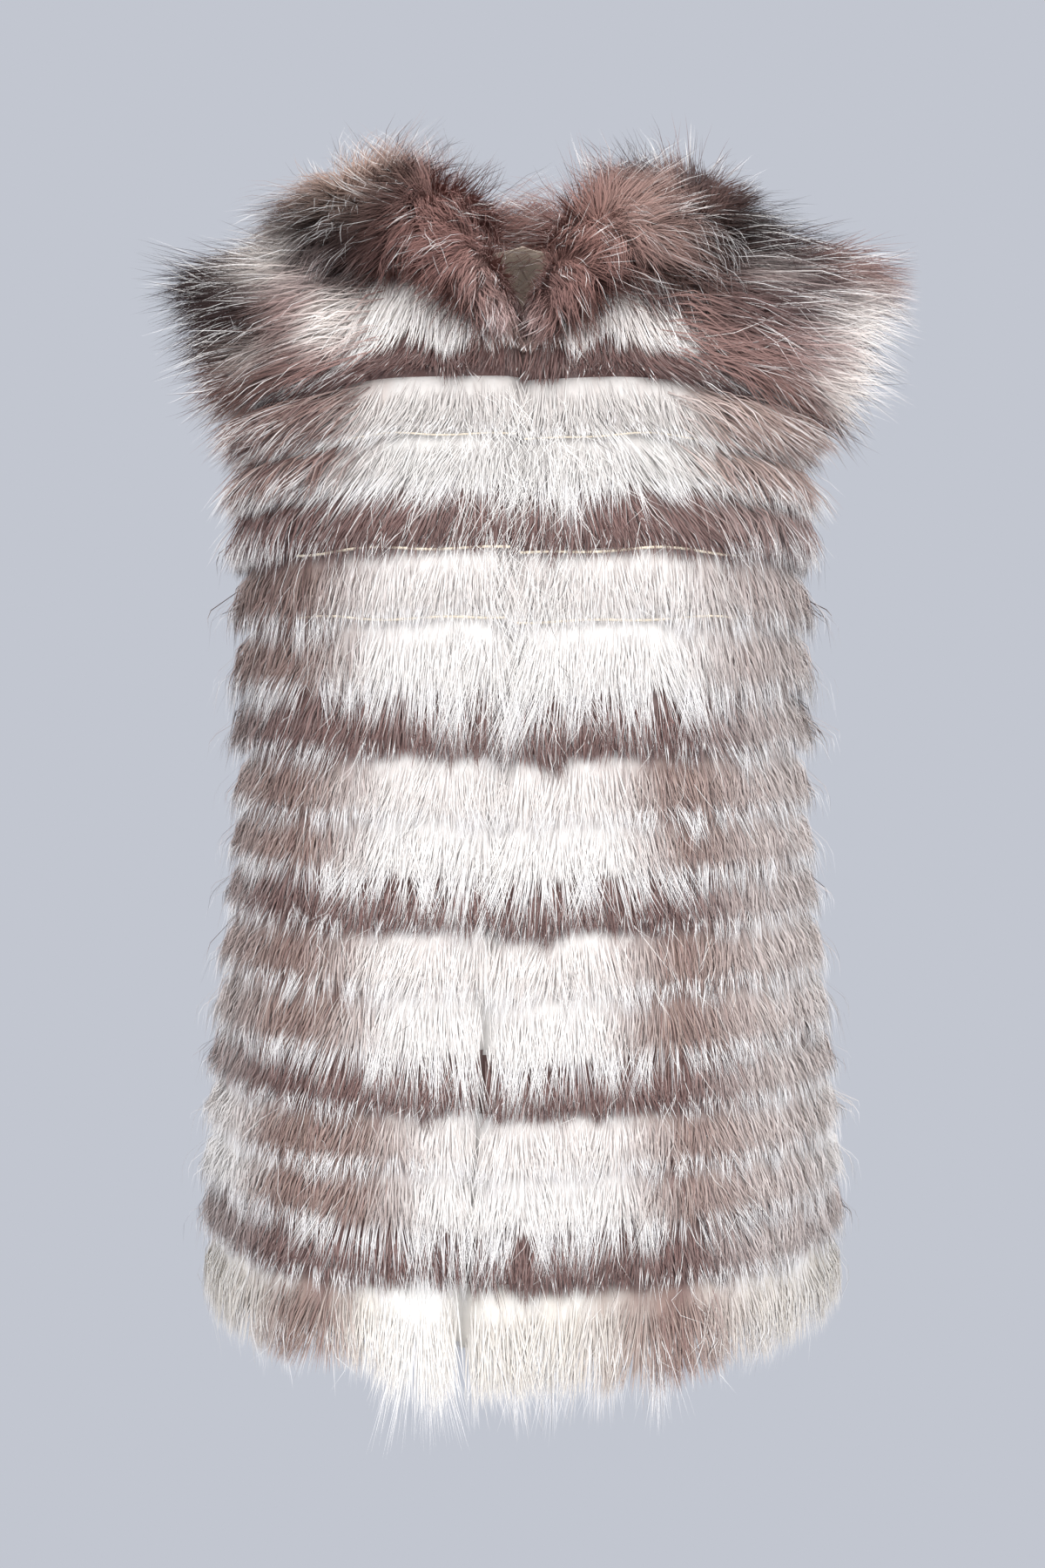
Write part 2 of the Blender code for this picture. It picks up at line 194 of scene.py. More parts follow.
def fold_swell(turn, height, facing, side):
    grown = np.clip((FOLD_TOP_HEIGHT - height) / (FOLD_TOP_HEIGHT - HEM_HEIGHT), 0, 1) ** 2
    swell = 0.0
    for fold in FOLDS:
        if fold.facing == facing and fold.side == side:
            swell = swell + fold.swell * hump(turn, fold.turn, fold.breadth)
    return swell * grown


def body_points(turn, height, facing, side):
    half_width = body_size("half_width", height)
    depth = body_size("front_depth" if facing == FRONT else "back_depth", height)
    x = half_width * np.sign(turn) * np.abs(np.sin(turn)) ** (2 / SECTION_POWER)
    y = depth * np.abs(np.cos(turn)) ** (2 / SECTION_POWER)
    y = y * (1 - shoulder_lift(x, height) ** SHOULDER_POWER) ** (1 / SHOULDER_POWER)
    y = y + fold_swell(turn, height, facing, side) + SEAM_GAP / 2
    return np.stack(np.broadcast_arrays(side * x, facing * y, height), axis=-1)


def seam_centre(seam):
    return between(FIRST_SEAM_HEIGHT, HEM_HEIGHT, seam / STRIPS)


def seam_heights(seam, turn):
    side_shift = between(SIDE_SHIFT_AT_CHEST, SIDE_SHIFT_AT_HEM, seam / STRIPS)
    return seam_centre(seam) + side_shift * (turn / QUARTER_TURN) ** 2


def inner_edge(height, facing, side):
    """Distance of a half panel's inner edge from the centre line: the front edge, or nothing at the back."""
    if facing == BACK:
        return 0.0
    down = np.clip((FIRST_SEAM_HEIGHT - height) / (FIRST_SEAM_HEIGHT - HEM_HEIGHT), 0, 1)
    return (OPENING_GAP + OPENING_SPREAD * down**2) / 2 - side * OPENING_DRIFT * down**OPENING_DRIFT_POWER


def evenly_along(points, columns):
    steps = np.linalg.norm(np.diff(points, axis=0), axis=1)
    run = np.concatenate(([0.0], np.cumsum(steps)))
    return points_along(points, run, np.linspace(0, run[-1], columns + 1))


def seam_points(seam, facing, side):
    """One level row of points, at a seam or part of the way to the next."""
    half_width = body_size("half_width", seam_centre(seam))
    first = turn_at(inner_edge(seam_centre(seam), facing, side), half_width)
    armhole_turns = [turn_at(x, half_width) for x in ARMHOLE_HALF_WIDTH]
    last = np.interp(seam, ARMHOLE_SEAMS + (UNDERARM_SEAM,), armhole_turns + [QUARTER_TURN])
    turn = np.linspace(first, last, FINE_STEPS)
    return evenly_along(body_points(turn, seam_heights(seam, turn), facing, side), COLUMNS)


def shoulder_lean(x, height):
    return np.arcsin(shoulder_lift(x, height) ** (SHOULDER_POWER / 2))


def shoulder_points(x, lean, facing, side):
    turn = turn_at(x, body_size("half_width", CHEST_HEIGHT))
    height = between(CHEST_HEIGHT, shoulder_height(x), np.sin(lean) ** (2 / SHOULDER_POWER))
    return body_points(turn, height, facing, side)


def top_edge(facing, side):
    """Distance from the centre line, and lean, along the neck and then the shoulder seam."""
    neck_columns = NECK_COLUMNS[facing]
    neck_height = FRONT_NECK_HEIGHT if facing == FRONT else BACK_NECK_HEIGHT
    inner = inner_edge(neck_height, facing, side)
    along_neck = np.linspace(0, 1, neck_columns + 1)
    out, back_over = along_neck, along_neck
    if facing == BACK:
        out = np.sin(QUARTER_TURN * along_neck)
        back_over = 1 - np.cos(QUARTER_TURN * along_neck)
    neck_x = between(inner, NECK_HALF_WIDTH, out)
    neck_lean = between(shoulder_lean(inner, neck_height), QUARTER_TURN, back_over)
    along_shoulder = np.linspace(0, 1, COLUMNS - neck_columns + 1)[1:]
    shoulder_x = between(NECK_HALF_WIDTH, SHOULDER_HALF_WIDTH, along_shoulder)
    return np.append(neck_x, shoulder_x), np.append(neck_lean, np.full(len(shoulder_x), QUARTER_TURN))


def fur_drop(v, u):
    drop = curve_through(*zip(*FUR_DROPS), v)
    by_armhole = smooth(*SIDE_DROP_FROM, u) * smooth(-1.0, 0.0, v) * (1 - smooth(0.0, SIDE_DROP_END, v))
    return drop + SIDE_DROP * by_armhole


class Ground:
    """One half panel's outside as a fine grid of points.

    v counts strips down from the first seam and is -1 at the top edge. u runs from 0 at the centre to 1 at
    the side.
    """

    def __init__(self, facing, side):
        self.facing, self.side = facing, side
        seams = np.linspace(0, STRIPS, STRIPS * STRIP_STEPS + 1)
        strips = [seam_points(seam, facing, side) for seam in seams]
        top_x, top_lean = top_edge(facing, side)
        seam_x = side * strips[0][:, 0]
        seam_lean = shoulder_lean(seam_x, strips[0][:, 2])
        downs = np.arange(YOKE_STEPS) / YOKE_STEPS
        yoke = []
        for down in downs:
            x = between(top_x, seam_x, down)
            yoke.append(shoulder_points(x, between(top_lean, seam_lean, down), facing, side))
        hem_step = strips[-1] - strips[-1 - STRIP_STEPS]
        fringe = [strips[-1] + hem_step * (row + 1) for row in range(FRINGE_ROWS)]
        self.rows = np.concatenate((downs - 1, seams, STRIPS + 1 + np.arange(FRINGE_ROWS)))
        self.points = np.array(yoke + strips + fringe)
        self.leather_rows = len(yoke) + len(strips)
        across = np.gradient(self.points, axis=1) * COLUMNS
        down = np.gradient(self.points, self.rows, axis=0)
        facing_out = np.cross(across, down)
        if np.sum(facing_out * self.points * (1, 1, 0)) < 0:
            facing_out = -facing_out
        self.normals = unit(facing_out)
        self.areas = np.linalg.norm(facing_out, axis=-1, keepdims=True)
        self.lengths = np.linalg.norm(down, axis=-1, keepdims=True)

    def opening_step(self, v, u):
        """How much lower the rows of the left front lie beside the opening, in strips."""
        if (self.facing, self.side) != (FRONT, LEFT):
            return 0.0
        return OPENING_STEP * (1 - smooth(0.0, OPENING_STEP_END, u)) * smooth(*OPENING_STEP_ROWS, v)

    def read(self, grid, v, u):
        """Values of a grid at places, carried on in a straight line past its sides."""
        lowered = v + fur_drop(v, u) + self.opening_step(v, u)
        row = np.interp(lowered, self.rows, np.arange(len(self.rows)))
        column = u * COLUMNS
        i = np.clip(row.astype(int), 0, len(self.rows) - 2)
        j = np.clip(np.floor(column).astype(int), 0, COLUMNS - 1)
        a = (row - i)[..., None]
        b = (column - j)[..., None]
        upper = grid[i, j] * (1 - b) + grid[i, j + 1] * b
        lower = grid[i + 1, j] * (1 - b) + grid[i + 1, j + 1] * b
        return upper * (1 - a) + lower * a

    def normal(self, v, u):
        return unit(self.read(self.normals, v, np.clip(u, 0, 1)))

    def at(self, v, u, out):
        return self.read(self.points, v, u) + self.normal(v, u) * np.asarray(out)[..., None]

    def length(self, v, u):
        """Metres down the ground for each strip there."""
        return self.read(self.lengths, v, np.clip(u, 0, 1))[..., 0]

    def breadth(self, v):
        """Length of a level row, from the centre to the side."""
        row = self.read(self.points, np.full(COLUMNS + 1, v), np.linspace(0, 1, COLUMNS + 1))
        return np.linalg.norm(np.diff(row, axis=0), axis=1).sum()

    def scatter(self, low, high, per_area):
        """Places spread evenly over a band of the ground, so many to the square metre."""
        band = (self.rows >= low - 1) & (self.rows <= high + 1)
        most = self.areas[band].max()
        tries = int(per_area * most * (high - low))
        v = chance.uniform(low, high, tries)
        u = chance.random(tries)
        kept = chance.random(tries) * most < self.read(self.areas, v, u)[:, 0]
        return v[kept], u[kept]


grounds = {(facing, side): Ground(facing, side) for facing in (FRONT, BACK) for side in (LEFT, RIGHT)}


# Materials

def new_material(name):
    material = bpy.data.materials.new(name)
    material.use_nodes = True
    return material, material.node_tree.nodes, material.node_tree.links


def set_inputs(node, values):
    for socket, value in values.items():
        node.inputs[socket].default_value = value


def object_noise(nodes, links, values):
    """Noise fixed to the object."""
    noise = nodes.new("ShaderNodeTexNoise")
    set_inputs(noise, values)
    coordinates = nodes.new("ShaderNodeTexCoord")
    links.new(coordinates.outputs["Object"], noise.inputs["Vector"])
    return noise


def uneven_colour(nodes, links, noise, first, second):
    """Base colour that goes from one colour to another by a noise."""
    ramp = nodes.new("ShaderNodeValToRGB")
    ramp.color_ramp.elements[0].color = (*first, 1)
    ramp.color_ramp.elements[1].color = (*second, 1)
    links.new(noise.outputs["Fac"], ramp.inputs["Fac"])
    links.new(ramp.outputs["Color"], nodes["Principled BSDF"].inputs["Base Color"])


def fur_material():
    """Hair: the colour of each strand, with a fine unevenness."""
    material, nodes, links = new_material("fur")
    shader = nodes["Principled BSDF"]
    tint = nodes.new("ShaderNodeAttribute")
    tint.attribute_name = "tint"
    noise = object_noise(nodes, links, {"Scale": 160.0, "Detail": 3.0})
    shade = nodes.new("ShaderNodeMapRange")
    set_inputs(shade, {"To Min": 0.88, "To Max": 1.08})
    blend = nodes.new("ShaderNodeMix")
    blend.data_type = "RGBA"
    blend.blend_type = "MULTIPLY"
    set_inputs(blend, {"Factor": 1.0})
    links.new(noise.outputs["Fac"], shade.inputs["Value"])
    links.new(tint.outputs["Color"], blend.inputs["A"])
    links.new(shade.outputs["Result"], blend.inputs["B"])
    links.new(blend.outputs["Result"], shader.inputs["Base Color"])
    set_inputs(shader, {"Roughness": 0.65, "Specular IOR Level": 0.12})
    return material


def leather_material():
    """Cream suede, in a tone darker than the welts' cream: partly the suede side's own tone, partly painted
    shade for the leather seen inside the neck.
    """
    material, nodes, links = new_material("cream_leather")
    shader = nodes["Principled BSDF"]
    noise = object_noise(nodes, links, {"Scale": 60.0, "Detail": 6.0})
    # painted shade in part: this cream is darker than WELT_CREAM
    uneven_colour(nodes, links, noise, srgb(176, 161, 145), srgb(206, 192, 176))
    grain = object_noise(nodes, links, {"Scale": 900.0})
    bump = nodes.new("ShaderNodeBump")
    set_inputs(bump, {"Strength": 0.35, "Distance": 0.0006})
    links.new(grain.outputs["Fac"], bump.inputs["Height"])
    links.new(bump.outputs["Normal"], shader.inputs["Normal"])
    set_inputs(shader, {"Roughness": 0.85, "Sheen Weight": 0.3})
    return material


leather = leather_material()
fur = fur_material()

# Ribbons of hair
TWIST = math.radians(30)
ROUNDNESS = 0.35
MAP_BANDS = 24
WIDTH_RANGE = (0.7, 1.3)
REACH_LOW = np.array((-0.236, -0.153, -0.688))  # hair past this reach is pressed back close to it
REACH_HIGH = np.array((0.236, 0.148, 0.106))
PRESSED_SHARE = 0.10


def pressed_in(places):
    """Places with what lies past the reach drawn in close to it."""
    inside = np.clip(places, REACH_LOW, REACH_HIGH)
    return inside + (places - inside) * PRESSED_SHARE


def tapering(width, count, taper):
    """Widths along hairs, uneven from hair to hair."""
    return width * chance.uniform(*WIDTH_RANGE, (count, 1)) * np.array(taper)


def flat(values, kind=np.float32):
    """Values in one row, as Blender takes them."""
    return values.astype(kind).ravel()


class Hair:
    """Ribbons and sheets of hair, gathered as arrays and made into one mesh."""

    def __init__(self):
        self.places, self.normals, self.tints, self.maps, self.corners = [], [], [], [], []
        self.count = 0

    def add(self, places, normals, tints, maps, corners):
        self.places.append(places.reshape(-1, 3))
        self.normals.append(normals.reshape(-1, 3))
        self.tints.append(np.clip(tints.reshape(-1, 3), 0, 1))
        self.maps.append(maps.reshape(-1, 2))
        self.corners.append(corners.reshape(-1, 3) + self.count)
        self.count += len(self.places[-1])

    def ribbons(self, spines, facing, widths, tints, band):
        """Ribbons along rows of points, each one tapering to its last point and shaded as a round hair."""
        strands, points = spines.shape[:2]
        along = unit(np.gradient(spines, axis=1))
        across = unit(np.cross(along, facing))
        twist = chance.uniform(-TWIST, TWIST, (strands, 1, 1))
        across = across * np.cos(twist) + np.cross(along, across) * np.sin(twist)
        half = across * widths[..., None] / 2
        edges = np.stack((spines - half, spines + half), axis=2).reshape(strands, 2 * points, 3)[:, :-1]
        sides = np.stack((facing - across * ROUNDNESS, facing + across * ROUNDNESS), axis=2)
        normals = unit(sides.reshape(strands, 2 * points, 3)[:, :-1])
        shades = np.repeat(tints, 2, axis=1)[:, :-1]
        maps = np.empty((strands, 2 * points - 1, 2))
        maps[..., 0] = chance.random((strands, 1))
        maps[..., 1] = (band + np.linspace(0, 1, 2 * points - 1)) / MAP_BANDS
        one = [(2 * i, 2 * i + 1, 2 * i + 2) for i in range(points - 1)]
        one += [(2 * i + 1, 2 * i + 3, 2 * i + 2) for i in range(points - 2)]
        first = np.arange(strands)[:, None, None] * (2 * points - 1)
        self.add(edges, normals, shades, maps, np.array(one)[None] + first)

    def sheet(self, grid, tints, band):
        """An open sheet through a grid of points, which faces the way its rows cross its columns."""
        rows, columns = grid.shape[:2]
        normals = unit(np.cross(np.gradient(grid, axis=0), np.gradient(grid, axis=1)))
        corner = grid_corners(rows, columns)
        upper = np.stack((corner, corner + columns, corner + columns + 1), axis=1)
        lower = np.stack((corner, corner + columns + 1, corner + 1), axis=1)
        maps = np.empty((rows, columns, 2))
        maps[..., 0] = np.linspace(0, 1, columns)
        maps[..., 1] = (band + np.linspace(0, 1, rows)[:, None]) / MAP_BANDS
        self.add(grid, normals, tints, maps, np.concatenate((upper, lower)))

    def make(self, name):
        places = pressed_in(np.concatenate(self.places))
        tints = np.concatenate(self.tints)
        corners = np.concatenate(self.corners)
        mesh = bpy.data.meshes.new(name)
        mesh.vertices.add(len(places))
        mesh.vertices.foreach_set("co", flat(places))
        mesh.loops.add(corners.size)
        mesh.loops.foreach_set("vertex_index", flat(corners, np.int32))
        mesh.polygons.add(len(corners))
        mesh.polygons.foreach_set("loop_start", np.arange(0, corners.size, 3, dtype=np.int32))
        mesh.update(calc_edges=True)
        tint = mesh.color_attributes.new("tint", "FLOAT_COLOR", "POINT")
        tint.data.foreach_set("color", flat(np.append(tints, np.ones((len(tints), 1)), axis=1)))
        bake_map = mesh.uv_layers.new(name="OFBake")
        bake_map.uv.foreach_set("vector", flat(np.concatenate(self.maps)[corners.ravel()]))
        mesh.shade_smooth()
        mesh.normals_split_custom_set_from_vertices(np.concatenate(self.normals).tolist())
        mesh.materials.append(fur)
        piece = bpy.data.objects.new(name, mesh)
        bpy.context.scene.collection.objects.link(piece)
        return piece


# Rows of fur: the strips, and the yoke above them as three rows
FIRST_PALE, SECOND_PALE, BROWN = range(3)  # the kinds of strip, in turn down the vest
Row = namedtuple("Row", "top bottom kind centre_hang side_hang")  # the tips hang past the bottom, in strips
HANGS = ((0.36, 0.34), (0.84, 0.46), (0.12, 0.28))  # of each kind, at the centre and at the sides
BARE_SEAMS = 4  # the strips that stop short of the seam below, at the centre
BARE_HANG = -0.02
SHORT_STRIP = 1
SHORT_HANGS = (0.42, 0.24)
HEM_HANGS = (1.08, 0.66)
HEM_TOP = STRIPS - 1.0
YOKE_ROWS = {
    RIGHT: (
        Row(-1.00, -0.70, BROWN, 0.12, 0.12),
        Row(-0.78, -0.34, FIRST_PALE, 0.10, 0.24),
        Row(-0.42, 0.00, BROWN, 0.00, 0.22),
    ),
    LEFT: (
        Row(-1.00, -0.50, BROWN, 0.08, 0.10),
        Row(-0.55, -0.34, FIRST_PALE, 0.08, 0.18),
        Row(-0.42, 0.00, BROWN, 0.00, 0.22),
    ),
}


def yoke_rows(ground):
    return YOKE_ROWS[-ground.facing * ground.side]


def strip_row(strip):
    kind = strip % 3
    centre, side = HEM_HANGS if strip == STRIPS - 1 else HANGS[kind]
    if strip < BARE_SEAMS and kind != SECOND_PALE:
        centre = BARE_HANG
    if strip == SHORT_STRIP:
        centre, side = SHORT_HANGS
    return Row(strip, strip + 1, kind, centre, side)


# Colours of the rows
WHITE = srgb(253, 251, 248)
CREAM = srgb(243, 233, 217)
BLUSH = srgb(231, 221, 216)
SILVER = srgb(240, 239, 240)
TAN = srgb(174, 152, 142)
MAUVE = srgb(146, 118, 113)
DARK = srgb(92, 68, 66)
SOOT = srgb(58, 50, 52)
# The edges of the white: x in the upper rows and in the lower ones, and the strips between which it turns
PaleEdge = namedtuple("PaleEdge", "upper lower turn")
PALE_EDGES = {
    FRONT: (PaleEdge(-0.104, -0.077, (9, 12)), PaleEdge(0.108, 0.067, (4, 6))),
    BACK: (PaleEdge(-0.098, -0.074, (6, 9)), PaleEdge(0.104, 0.080, (8, 11))),
}
PALE_SOFT = 0.030
FIRST_PALE_INSET = 0.012
YOKE_SPREAD = 0.016
PALE_SWAY = 0.007
SWAY_TURNS = (2.1, 1.3)
PALE_STRAY = 0.004
YOKE_PALENESS = {LEFT: 0.80, RIGHT: 1.0}
THROAT = (0.016, 0.034)  # the yoke is brown at the foot of the collar
CreamSide = namedtuple("CreamSide", "facing side first_strip from_x")
CREAM_SIDES = (
    CreamSide(FRONT, LEFT, 6, 0.165),
    CreamSide(FRONT, RIGHT, 11, 0.150),
    CreamSide(BACK, LEFT, 7, 0.160),
    CreamSide(BACK, RIGHT, 10, 0.152),
)
CREAM_SOFT = 0.016
HEM_PATCHES = ((-0.118, 0.026), (0.087, 0.034))  # brown places in the pale hem strip: x and half-width
HEM_TUFT = (-0.062, 0.026)  # and a place whiter than the rest
FrostedSide = namedtuple("FrostedSide", "facing side near far most")
FROSTED_SIDES = (
    FrostedSide(FRONT, LEFT, 0.085, 0.150, 2.0),
    FrostedSide(FRONT, RIGHT, 0.130, 0.172, 1.0),
    FrostedSide(BACK, LEFT, 0.120, 0.175, 0.5),
    FrostedSide(BACK, RIGHT, 0.110, 0.170, 0.8),
)
FROST_ROWS = (1, 4)
FROST_SHARES = (0.28, 0.60)
DUSK_FROM = (0.05, 0.12)
DUSK_ROWS = (2, 5)
DUSK_SHARE = 0.65
YOKE_DARKNESS = 0.40
BROWN_DARKNESS = 0.60
TAN_DARKNESS = (0.15, 0.90)
TINT_STRAY = 0.25
WHITE_UNEVENNESS = 0.5
YOKE_BLUSH = 0.45
BLUSH_FALL = (1.30, 0.80)  # there is less blush where it is palest
BLUSH_SHARES = {FIRST_PALE: 0.9, SECOND_PALE: 0.25, BROWN: 0.25}
TOP_DIMNESS = 0.26
HEM_DIMNESS = 0.08
DIM_ROWS = (0, 4)
WAVE_LENGTHS = (0.113, 0.052, 0.027)


def waves(x, seed):
    """An uneven wave between about -1 and 1 along x, the same for the same seed."""
    phases = np.random.default_rng(seed).uniform(0, 2 * math.pi, 3)
    return sum(np.sin(x * 2 * math.pi / length + phase) for length, phase in zip(WAVE_LENGTHS, phases)) / 2


def row_seed(row, facing):
    return int(row.top * 4 + 40) * 10 + facing + 1


def hem_paleness(x, facing):
    """How pale the hem strip is: brown in two places, and more than 1 in the white tuft."""
    brown = sum(hump(x, *patch) for patch in HEM_PATCHES)
    tuft = hump(x, *HEM_TUFT) if facing == FRONT else 0.0
    return np.clip(1.0 - brown, 0, 1) + tuft


def pale_edges(row, facing):
    """Where along x a row turns from brown to white, and back again."""
    low, high = (between(edge.upper, edge.lower, smooth(*edge.turn, row.top)) for edge in PALE_EDGES[facing])
    if row.kind == FIRST_PALE:
        low = low + (FIRST_PALE_INSET if row.top >= 0 else -YOKE_SPREAD)
    low = low + PALE_SWAY * math.sin(SWAY_TURNS[0] * row.top + facing)
    high = high + PALE_SWAY * math.sin(SWAY_TURNS[1] * row.top + 2 * facing)
    return low, high


def pale_share(row, x, facing):
    """How pale a row is here: white in the middle, brown at the sides, and cream by the low side seams."""
    x = x + chance.normal(0, PALE_STRAY, len(x))
    if row.kind == BROWN:
        return np.zeros(len(x))
    if row.top == HEM_TOP:
        return hem_paleness(x, facing)
    low, high = pale_edges(row, facing)
    soft = PALE_SOFT if row.top >= 0 else PALE_SOFT / 2
    pale = smooth(low - soft, low + soft, x) * (1 - smooth(high - soft, high + soft, x))
    if row.top < 0 and facing == FRONT:
        pale = pale * smooth(*THROAT, np.abs(x)) * np.where(x > 0, YOKE_PALENESS[LEFT], YOKE_PALENESS[RIGHT])
    for cream in CREAM_SIDES:
        if cream.facing == facing:
            grown = smooth(cream.first_strip - 2, cream.first_strip + 1, row.top)
            pale = np.maximum(pale, grown * smooth(-CREAM_SOFT, CREAM_SOFT, cream.side * x - cream.from_x))
    return pale


def frost_at(row, x, facing):
    """How much the brown is grizzled with pale hair, towards the side seams below the armholes.

    It is less than nothing where the brown is dusky, by one armhole.
    """
    frost = np.zeros(len(x))
    for grizzled in FROSTED_SIDES:
        if grizzled.facing == facing:
            frost = frost + grizzled.most * smooth(grizzled.near, grizzled.far, grizzled.side * x)
    dusk = smooth(*DUSK_FROM, x * facing) * (1 - smooth(*DUSK_ROWS, row.top))
    return frost * smooth(*FROST_ROWS, row.top) - dusk


def dimness(row):
    """How much greyer the white is in the first strips and in the hem."""
    if row.top == HEM_TOP:
        return HEM_DIMNESS
    return TOP_DIMNESS * (1 - smooth(*DIM_ROWS, row.top)) if row.top >= 0 else 0.0


def white_tints(row, pale, draw):
    """Colour of the white hair of a row, less blushed and brighter where it is palest."""
    blush = YOKE_BLUSH if row.top < 0 else BLUSH_SHARES[row.kind]
    blush = blush * np.clip(between(*BLUSH_FALL, pale), 0, 1) * (0.5 + WHITE_UNEVENNESS * (draw - 0.5))
    white = mixed(WHITE, CREAM if row.top == HEM_TOP else BLUSH, blush)
    return white * (1 - dimness(row) * np.clip(2 - pale, 0, 1))[:, None]


def coat_tints(row, pale, frost):
    """Colour of the soft coat of a row, one for each hair."""
    count = len(pale)
    draw = chance.random(count)
    if row.kind == BROWN:
        brown = mixed(MAUVE, DARK, (YOKE_DARKNESS if row.top < 0 else 0.0) + BROWN_DARKNESS * draw)
    else:
        brown = mixed(TAN, MAUVE, between(*TAN_DARKNESS, draw))
    brown = mixed(brown, BLUSH, np.clip(frost * chance.uniform(*FROST_SHARES, count), 0, 1))
    brown = mixed(brown, DARK, np.clip(-DUSK_SHARE * frost * chance.random(count), 0, 1))
    share = np.clip(pale + TINT_STRAY * (chance.random(count) - 0.5), 0, 1)
    return mixed(brown, white_tints(row, pale, draw), share)


# Form of the rows
EDGE_ROUND = 0.012  # the coat is full this far inside its free edges
OPENING_EDGE = -0.005  # and thins to nothing here, at the opening
ARMHOLE_EDGE = -0.001  # or at an armhole
SIDE_FROM = (0.045, 0.115)
HANG_WAVE = 0.11
LongTuft = namedtuple("LongTuft", "strip x half_width longer")
LONG_TUFTS = (
    LongTuft(4, -0.006, 0.024, 0.30),
    LongTuft(4, 0.085, 0.045, 0.26),
    LongTuft(7, -0.016, 0.022, 0.30),
    LongTuft(7, -0.020, 0.080, 0.26),
    LongTuft(10, -0.012, 0.030, 0.25),
    LongTuft(10, -0.060, 0.030, 0.30),
    LongTuft(13, -0.074, 0.030, 0.80),
    LongTuft(13, -0.034, 0.020, 0.32),
    LongTuft(15, -0.054, 0.018, 0.55),
    LongTuft(15, 0.080, 0.030, 0.15),
)
ROW_LEANS = (0.34, 0.12)  # how much the hair leans out at the sides, in the upper rows and the lower ones
LEAN_ROWS = (3, 9)
LEAN_FROM = (0.12, 0.75)
YOKE_LEAN = 1.1  # more in the yoke
YOKE_LEAN_FROM = (0.22, 0.80)
ARMHOLE_LEAN = 0.35  # and by the armholes
ARMHOLE_LEAN_FROM = (0.45, 0.95)
PARTING_WIDTH = 0.018
PARTINGS = (-0.26, -0.06)  # beside the opening it leans in, in the upper rows and the lower ones
PARTING_ROWS = (4, 6)
LOW_ROWS = (8, 11)
LOW_PARTING = {LEFT: 0.16, RIGHT: 0.02}  # low down it turns away from the opening, mostly on the left front
SWEEP = 0.19
ARMHOLE_PAST = 0.12  # how much of what would pass an armhole's edge does so
BESIDE_OPENING = 0.014
HAIR_COVERS = (0.40, 0.0)  # the hair grows over this share of the gap, at the top and low down
SIDE_RISES = {False: 0.6, True: 1.2}  # it stands out more at the side seams, and most just below the armholes
SIDE_RISE_FROM = 0.70
FULL_SIDE_END = 6


def side_share(x):
    """0 in the middle of the vest and 1 towards its sides."""
    return smooth(*SIDE_FROM, np.abs(x))


def hang_of(row, x, facing):
    """How far the tips hang past the row's bottom, in strips."""
    hang = between(row.centre_hang, row.side_hang, side_share(x))
    for tuft in LONG_TUFTS:
        if facing == FRONT and tuft.strip == row.top:
            hang = hang + tuft.longer * hump(x, tuft.x, tuft.half_width)
    return hang + HANG_WAVE * waves(x, row_seed(row, facing))


def lean_of(ground, row, u, breadth):
    """How much the hair leans out to the side for each metre down. By the front opening it leans in."""
    lean = between(*ROW_LEANS, smooth(*LEAN_ROWS, row.top)) * smooth(*LEAN_FROM, u)
    if row.top < 0:
        lean = lean + YOKE_LEAN * smooth(*YOKE_LEAN_FROM, u)
    elif row.top < UNDERARM_SEAM:
        lean = lean + ARMHOLE_LEAN * smooth(*ARMHOLE_LEAN_FROM, u)
    if ground.facing == FRONT:
        beside = 1 - smooth(0.0, PARTING_WIDTH, u * breadth)
        parting = between(*PARTINGS, smooth(*PARTING_ROWS, row.top))
        lean = lean + beside * (parting + LOW_PARTING[ground.side] * smooth(*LOW_ROWS, row.top))
    x = ground.side * u * breadth
    return lean + SWEEP * waves(x, row_seed(row, ground.facing) + 5)


def edge_share(ground, row, u, breadth):
    """0 at a free edge of a row, where its coat thins to the leather, and 1 inside."""
    share = np.ones(np.shape(u))
    if ground.facing == FRONT:
        share = share * smooth(OPENING_EDGE, EDGE_ROUND, u * breadth)
    if row.bottom < UNDERARM_SEAM:
        share = share * smooth(ARMHOLE_EDGE, EDGE_ROUND, (1 - u) * breadth)
    return share


def over_opening(ground, row, u, breadth, cover):
    """Places across a front, those beside the opening moved out over a share of its half gap."""
    if ground.facing == BACK:
        return u
    gap = OPENING_GAP + OPENING_SPREAD * np.clip(row.bottom / STRIPS, 0, 1) ** 2
    return u - cover * (1 - smooth(0.0, BESIDE_OPENING, u * breadth)) * gap / 2 / breadth


def side_rise(row, u):
    """How much more the hair stands out towards the side seam."""
    below_armhole = UNDERARM_SEAM <= row.top < FULL_SIDE_END
    return 1 + SIDE_RISES[below_armhole] * smooth(SIDE_RISE_FROM, 1.0, u)


# Hair of the rows
Roots = namedtuple("Roots", "v u x pale breadth")  # places of the hairs' roots, and the breadth of their row
ROOT_OUT = 0.0045  # the hair of a row starts this far out, on the thick of the coat
# how much weaker the painted shade inside the coat is where the hair is pale
PALE_GLOW = 0.72
PALE_EVENNESS = 0.8
EDGE_PAINTED_SHADOW = 0.50  # painted shadow: the coat is darker by this share at its free edges
